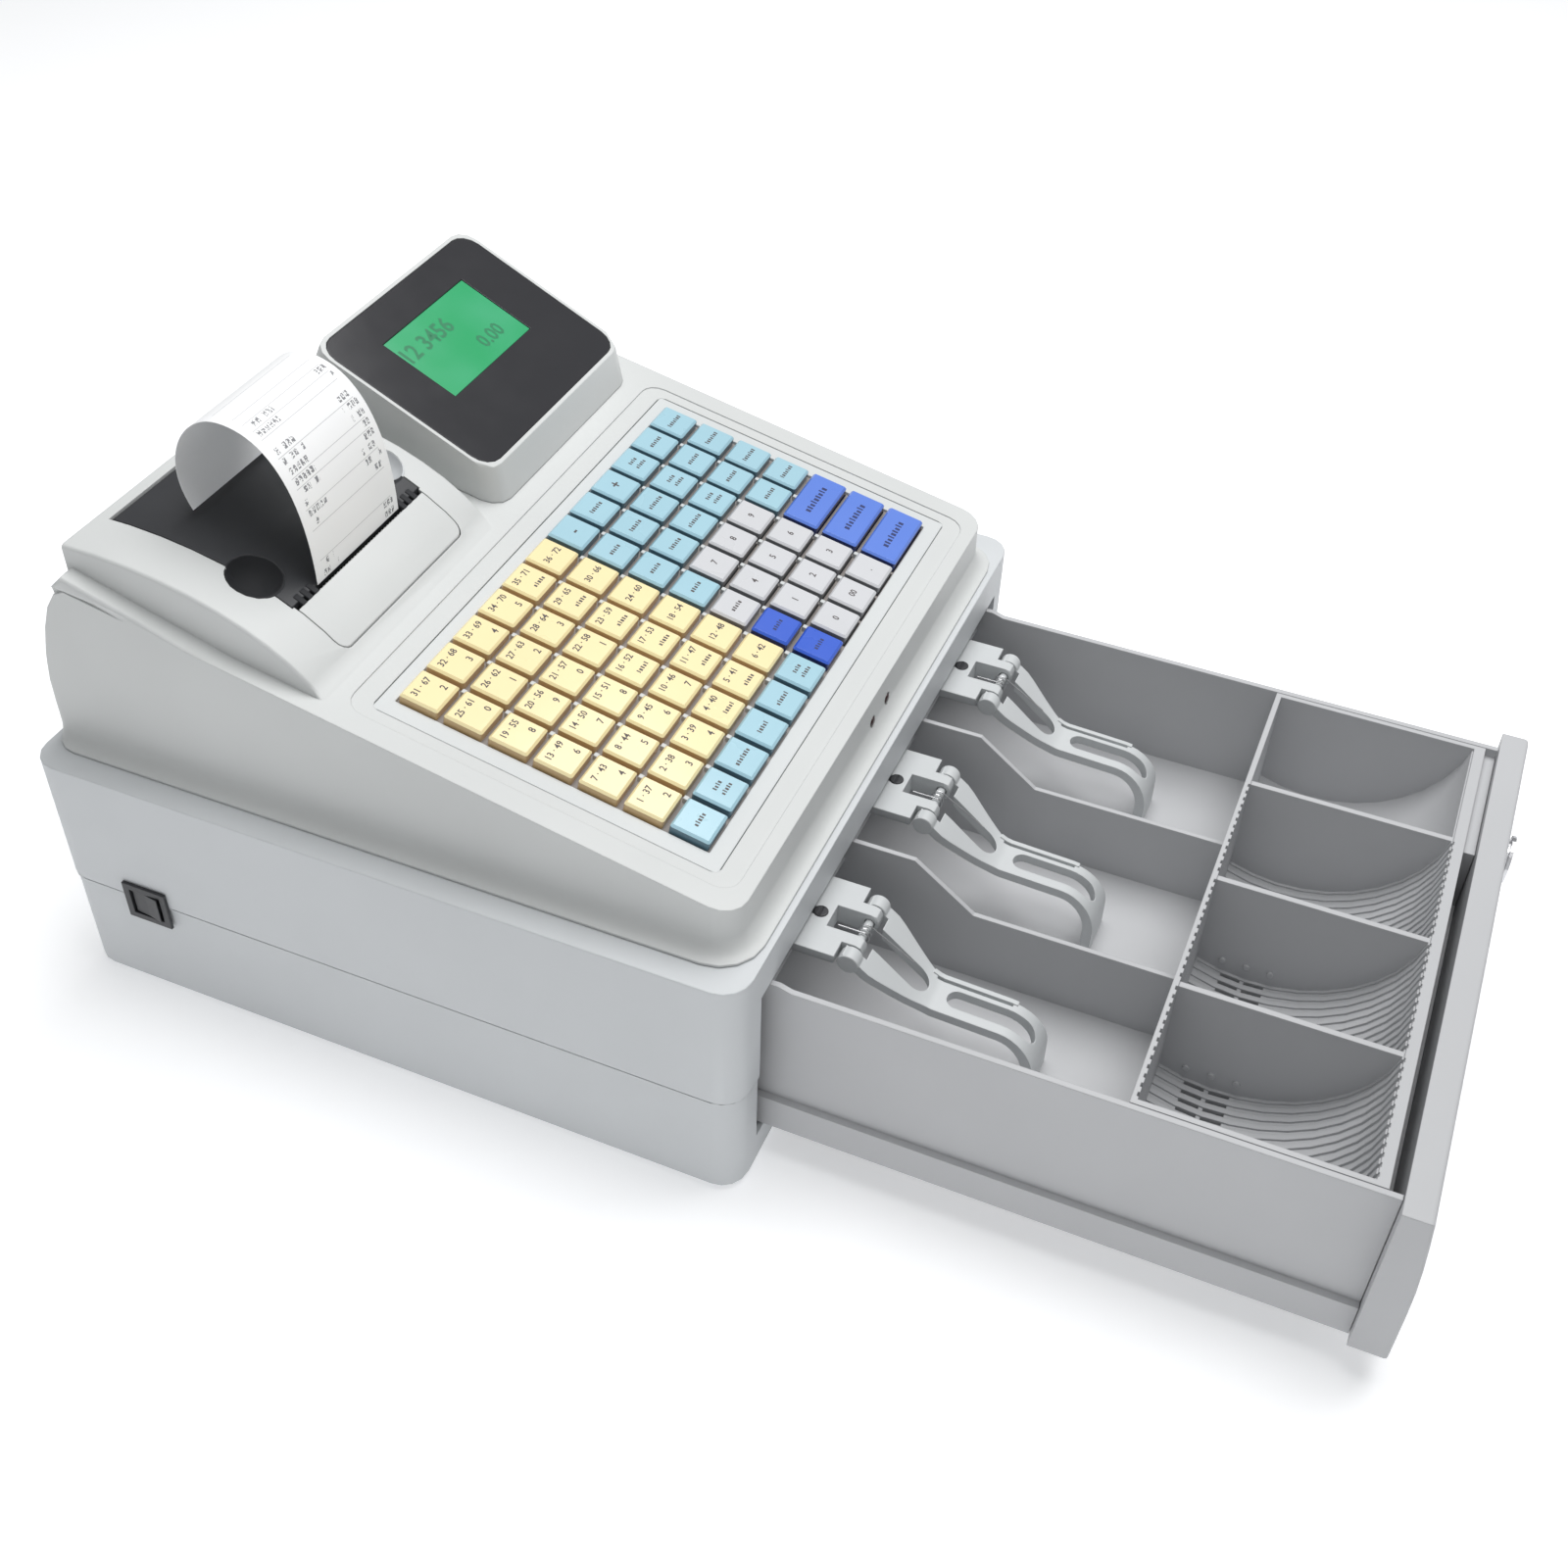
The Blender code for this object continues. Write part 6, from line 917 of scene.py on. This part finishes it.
def make_key_panel():
    """The frame round the keys, the bed they stand in, coloured darker as painted shade between the keys,
    and the posts between their corners.
    """
    field_x = COLUMNS * PITCH_X / 2 - KEY_GAP
    field_low = FIRST_ROW - PITCH_Y / 2 + KEY_GAP
    field_top = FIRST_ROW + (ROWS - 0.5) * PITCH_Y - KEY_GAP
    frame_low = (-PANEL_HALF, PANEL_FRONT, PANEL_LOW)
    frame_plate = block("key_frame", frame_low, (PANEL_HALF, PANEL_BACK, PANEL_TOP))
    carve(frame_plate, block("field", (-field_x, field_low, CUT_LOW), (field_x, field_top, CUT_TOP)))
    round_edges(frame_plate, 0.0004)
    seat(soften(frame_plate), SLOPE)
    fit(coat(frame_plate, PANEL), "cabinet", "key_mat_grey", "key_mat")
    posts = []
    for row in range(1, ROWS):
        for column in range(1, COLUMNS):
            if row < 3 and column == COLUMNS - 1:
                continue
            x = (column - COLUMNS / 2) * PITCH_X
            y = FIRST_ROW + (row - 0.5) * PITCH_Y
            low = (x - POST_HALF, y - POST_HALF, POST_LOW)
            posts.append(block("post", low, (x + POST_HALF, y + POST_HALF, POST_TOP)))
    posts = round_edges(joined("key_posts", posts), 0.0004)
    seat(soften(posts), SLOPE)
    fit(coat(posts, PANEL), "cabinet", "key_mat_grey")
    panel = block("key_bed", (-field_x, field_low, PANEL_LOW), (field_x, field_top, BED_TOP))
    wells = []
    for row, column, wide, tone in key_spots():
        if key_moves(row, column, wide):
            x, y = key_middle(row, column, wide)
            half_x = (CAP_X + (wide - 1) * PITCH_X) / 2 + KEY_GAP
            half_y = CAP_Y / 2 + KEY_GAP
            low = (x - half_x, y - half_y, CUT_LOW)
            wells.append(block("well", low, (x + half_x, y + half_y, CUT_TOP)))
    carve(panel, joined("wells", wells))
    seat(soften(panel), SLOPE)
    return fit(coat(panel, KEY_BED_SHADE), "cabinet", "key_mat_grey", "key_mat")


# ---------------------------------------------------------------- receipt

PAPER_WIDTH = 0.0575
PAPER_THICK = 0.00016
CURL_STEPS = 22


def cubic(a, b, c, d, steps):
    """Places along a smooth curve from a to d that leaves towards b and arrives from c."""
    for step in range(steps + 1):
        t = step / steps
        weights = ((1 - t) ** 3, 3 * t * (1 - t) ** 2, 3 * t * t * (1 - t), t**3)
        yield tuple(sum(w * p[i] for w, p in zip(weights, (a, b, c, d))) for i in (0, 1))


def paper_path():
    """The curl of the strip from the slot up, over and back down, as places (y, z)."""
    def spot(y, z):
        return MACHINE_FRONT + y, DECK + z

    foot, top, end = spot(0.20585, 0.0780), spot(0.2390, 0.1404), spot(0.2586, 0.0969)
    rise = list(cubic(foot, spot(0.2052, 0.1204), spot(0.2190, 0.1404), top, CURL_STEPS))
    fall = list(cubic(top, spot(0.2550, 0.1404), spot(0.2700, 0.1174), end, CURL_STEPS))
    return rise + fall[1:]


def make_receipt():
    """The strip is drawn up from its foot, one short extrusion after another."""
    path = paper_path()
    y0, z0 = path[0]
    bpy.ops.object.select_all(action="DESELECT")
    bpy.ops.mesh.primitive_plane_add(size=1, location=(PRINTER_X, y0, z0))
    strip = bpy.context.object
    strip.name = "receipt_paper"
    upright = Matrix.Rotation(pi / 2, 4, "X")
    strip.data.transform(upright @ Matrix.Diagonal((PAPER_WIDTH, 0.0001, 1, 1)))
    fix_place()
    top = z0 + 0.00002
    choose_edges(strip, lambda a, b: min(a.z, b.z) > top)
    lengths = [0.0]
    for (ay, az), (by, bz) in zip(path, path[1:]):
        bpy.ops.mesh.extrude_region_move(TRANSFORM_OT_translate={"value": (0, by - ay, bz - az)})
        lengths.append(lengths[-1] + ((by - ay) ** 2 + (bz - az) ** 2) ** 0.5)
    done()
    layer = strip.data.uv_layers.new(name="along_paper")
    for loop in strip.data.loops:
        spot = strip.data.vertices[loop.vertex_index].co
        gaps = [(y - spot.y) ** 2 + (z - spot.z) ** 2 for y, z in path]
        along = lengths[gaps.index(min(gaps))]
        layer.data[loop.index].uv = (spot.x - PRINTER_X + PAPER_WIDTH / 2, along)
    for old in [other for other in strip.data.uv_layers if other.name != "along_paper"]:
        strip.data.uv_layers.remove(old)
    if strip.data.polygons[1].normal.y > 0:
        strip.data.flip_normals()
    coat(strip, PRINTED, PAPER)
    sheet = strip.modifiers.new("paper_thickness", "SOLIDIFY")
    sheet.thickness = PAPER_THICK
    sheet.offset = 0
    sheet.material_offset = sheet.material_offset_rim = 1
    alone(strip)
    bpy.ops.object.modifier_apply(modifier=sheet.name)
    soften(strip, 40)
    return fit(strip, "printer_lid", "white_paper", "receipt_strip")


# ---------------------------------------------------------------- display

SCREEN_ROWS = (("12 3456", 0.0115, -0.0160, 0.0585), ("0.00", 0.0100, 0.0120, 0.0420))
BEHIND_PANE = 0.00025


def make_screen_marks():
    """Two rows of figures on the panel, as a calculator shows them."""
    figures = joined("lcd_figures", [lettering(*row, 0) for row in SCREEN_ROWS])
    seat(figures, SCREEN @ Matrix.Translation((0, 0, -BEHIND_PANE)))
    return fit(coat(figures, LCD_INK), "cabinet", "lcd_glass")


# ---------------------------------------------------------------- studio

FLOOR_SIDE = 14
FLOOR_GLOW = 0.35
ROOM_LIGHT = 0.25
SOFTBOX_SIDE = 1.4
SOFTBOX_AIM = Vector((0, 0, 0.1))


def make_studio():
    bpy.ops.object.select_all(action="DESELECT")
    bpy.ops.mesh.primitive_plane_add(size=FLOOR_SIDE)
    floor = bpy.context.object
    floor.name = "studio_floor"
    f = Finish("studio_floor")
    white = f.mixed(f.noise(3), shade(246, 247, 248), shade(250, 250, 251))
    f.wire(white, f.shader.inputs["Base Color"])
    f.wire(white, f.shader.inputs["Emission Color"])
    f.shader.inputs["Emission Strength"].default_value = FLOOR_GLOW
    f.shader.inputs["Roughness"].default_value = 0.9
    floor.data.materials.append(f.material)
    world = bpy.data.worlds.new("studio")
    world.use_nodes = True
    sky = world.node_tree.nodes["Background"]
    sky.inputs["Color"].default_value = (0.96, 0.98, 1.0, 1)
    sky.inputs["Strength"].default_value = ROOM_LIGHT
    bpy.context.scene.world = world
    softbox("overhead_softbox", (0.35, -0.15, 1.7), 29)
    softbox("left_softbox", (-1.9, 0.1, 1.0), 3.4)
    bpy.context.scene.view_settings.view_transform = "Standard"


def softbox(name, place, watts):
    bpy.ops.object.light_add(type="AREA", location=place)
    light = bpy.context.object
    light.name = name
    light.data.size = SOFTBOX_SIDE
    light.data.energy = watts
    light.rotation_euler = (SOFTBOX_AIM - light.location).to_track_quat("-Z", "Y").to_euler()


def make_camera():
    """Seen from the operator's left, a little above the machine, as in the photograph."""
    yaw, pitch, roll = 1.1909, -0.7359, 0.0331
    focal, side = 1893.1, 1600
    eye = Vector((-0.5588, -0.20695, 0.6205))
    forward = Vector((sin(yaw) * cos(pitch), cos(yaw) * cos(pitch), sin(pitch)))
    level = Vector((cos(yaw), -sin(yaw), 0))
    up = level.cross(forward)
    across = level * cos(roll) + up * sin(roll)
    upright = up * cos(roll) - level * sin(roll)
    view = bpy.data.cameras.new("photo_camera")
    camera = bpy.data.objects.new("photo_camera", view)
    turn = Matrix((across, upright, -forward)).transposed()
    camera.matrix_world = Matrix.Translation(eye) @ turn.to_4x4()
    view.sensor_width = 36
    view.lens = focal * view.sensor_width / side
    view.clip_end = 60
    bpy.context.scene.collection.objects.link(camera)
    bpy.context.scene.camera = camera


make_camera()
dress_shells()
dress_kept_nodes()
make_clips()
make_key_panel()
make_keys()
make_receipt()
make_screen_marks()
make_studio()
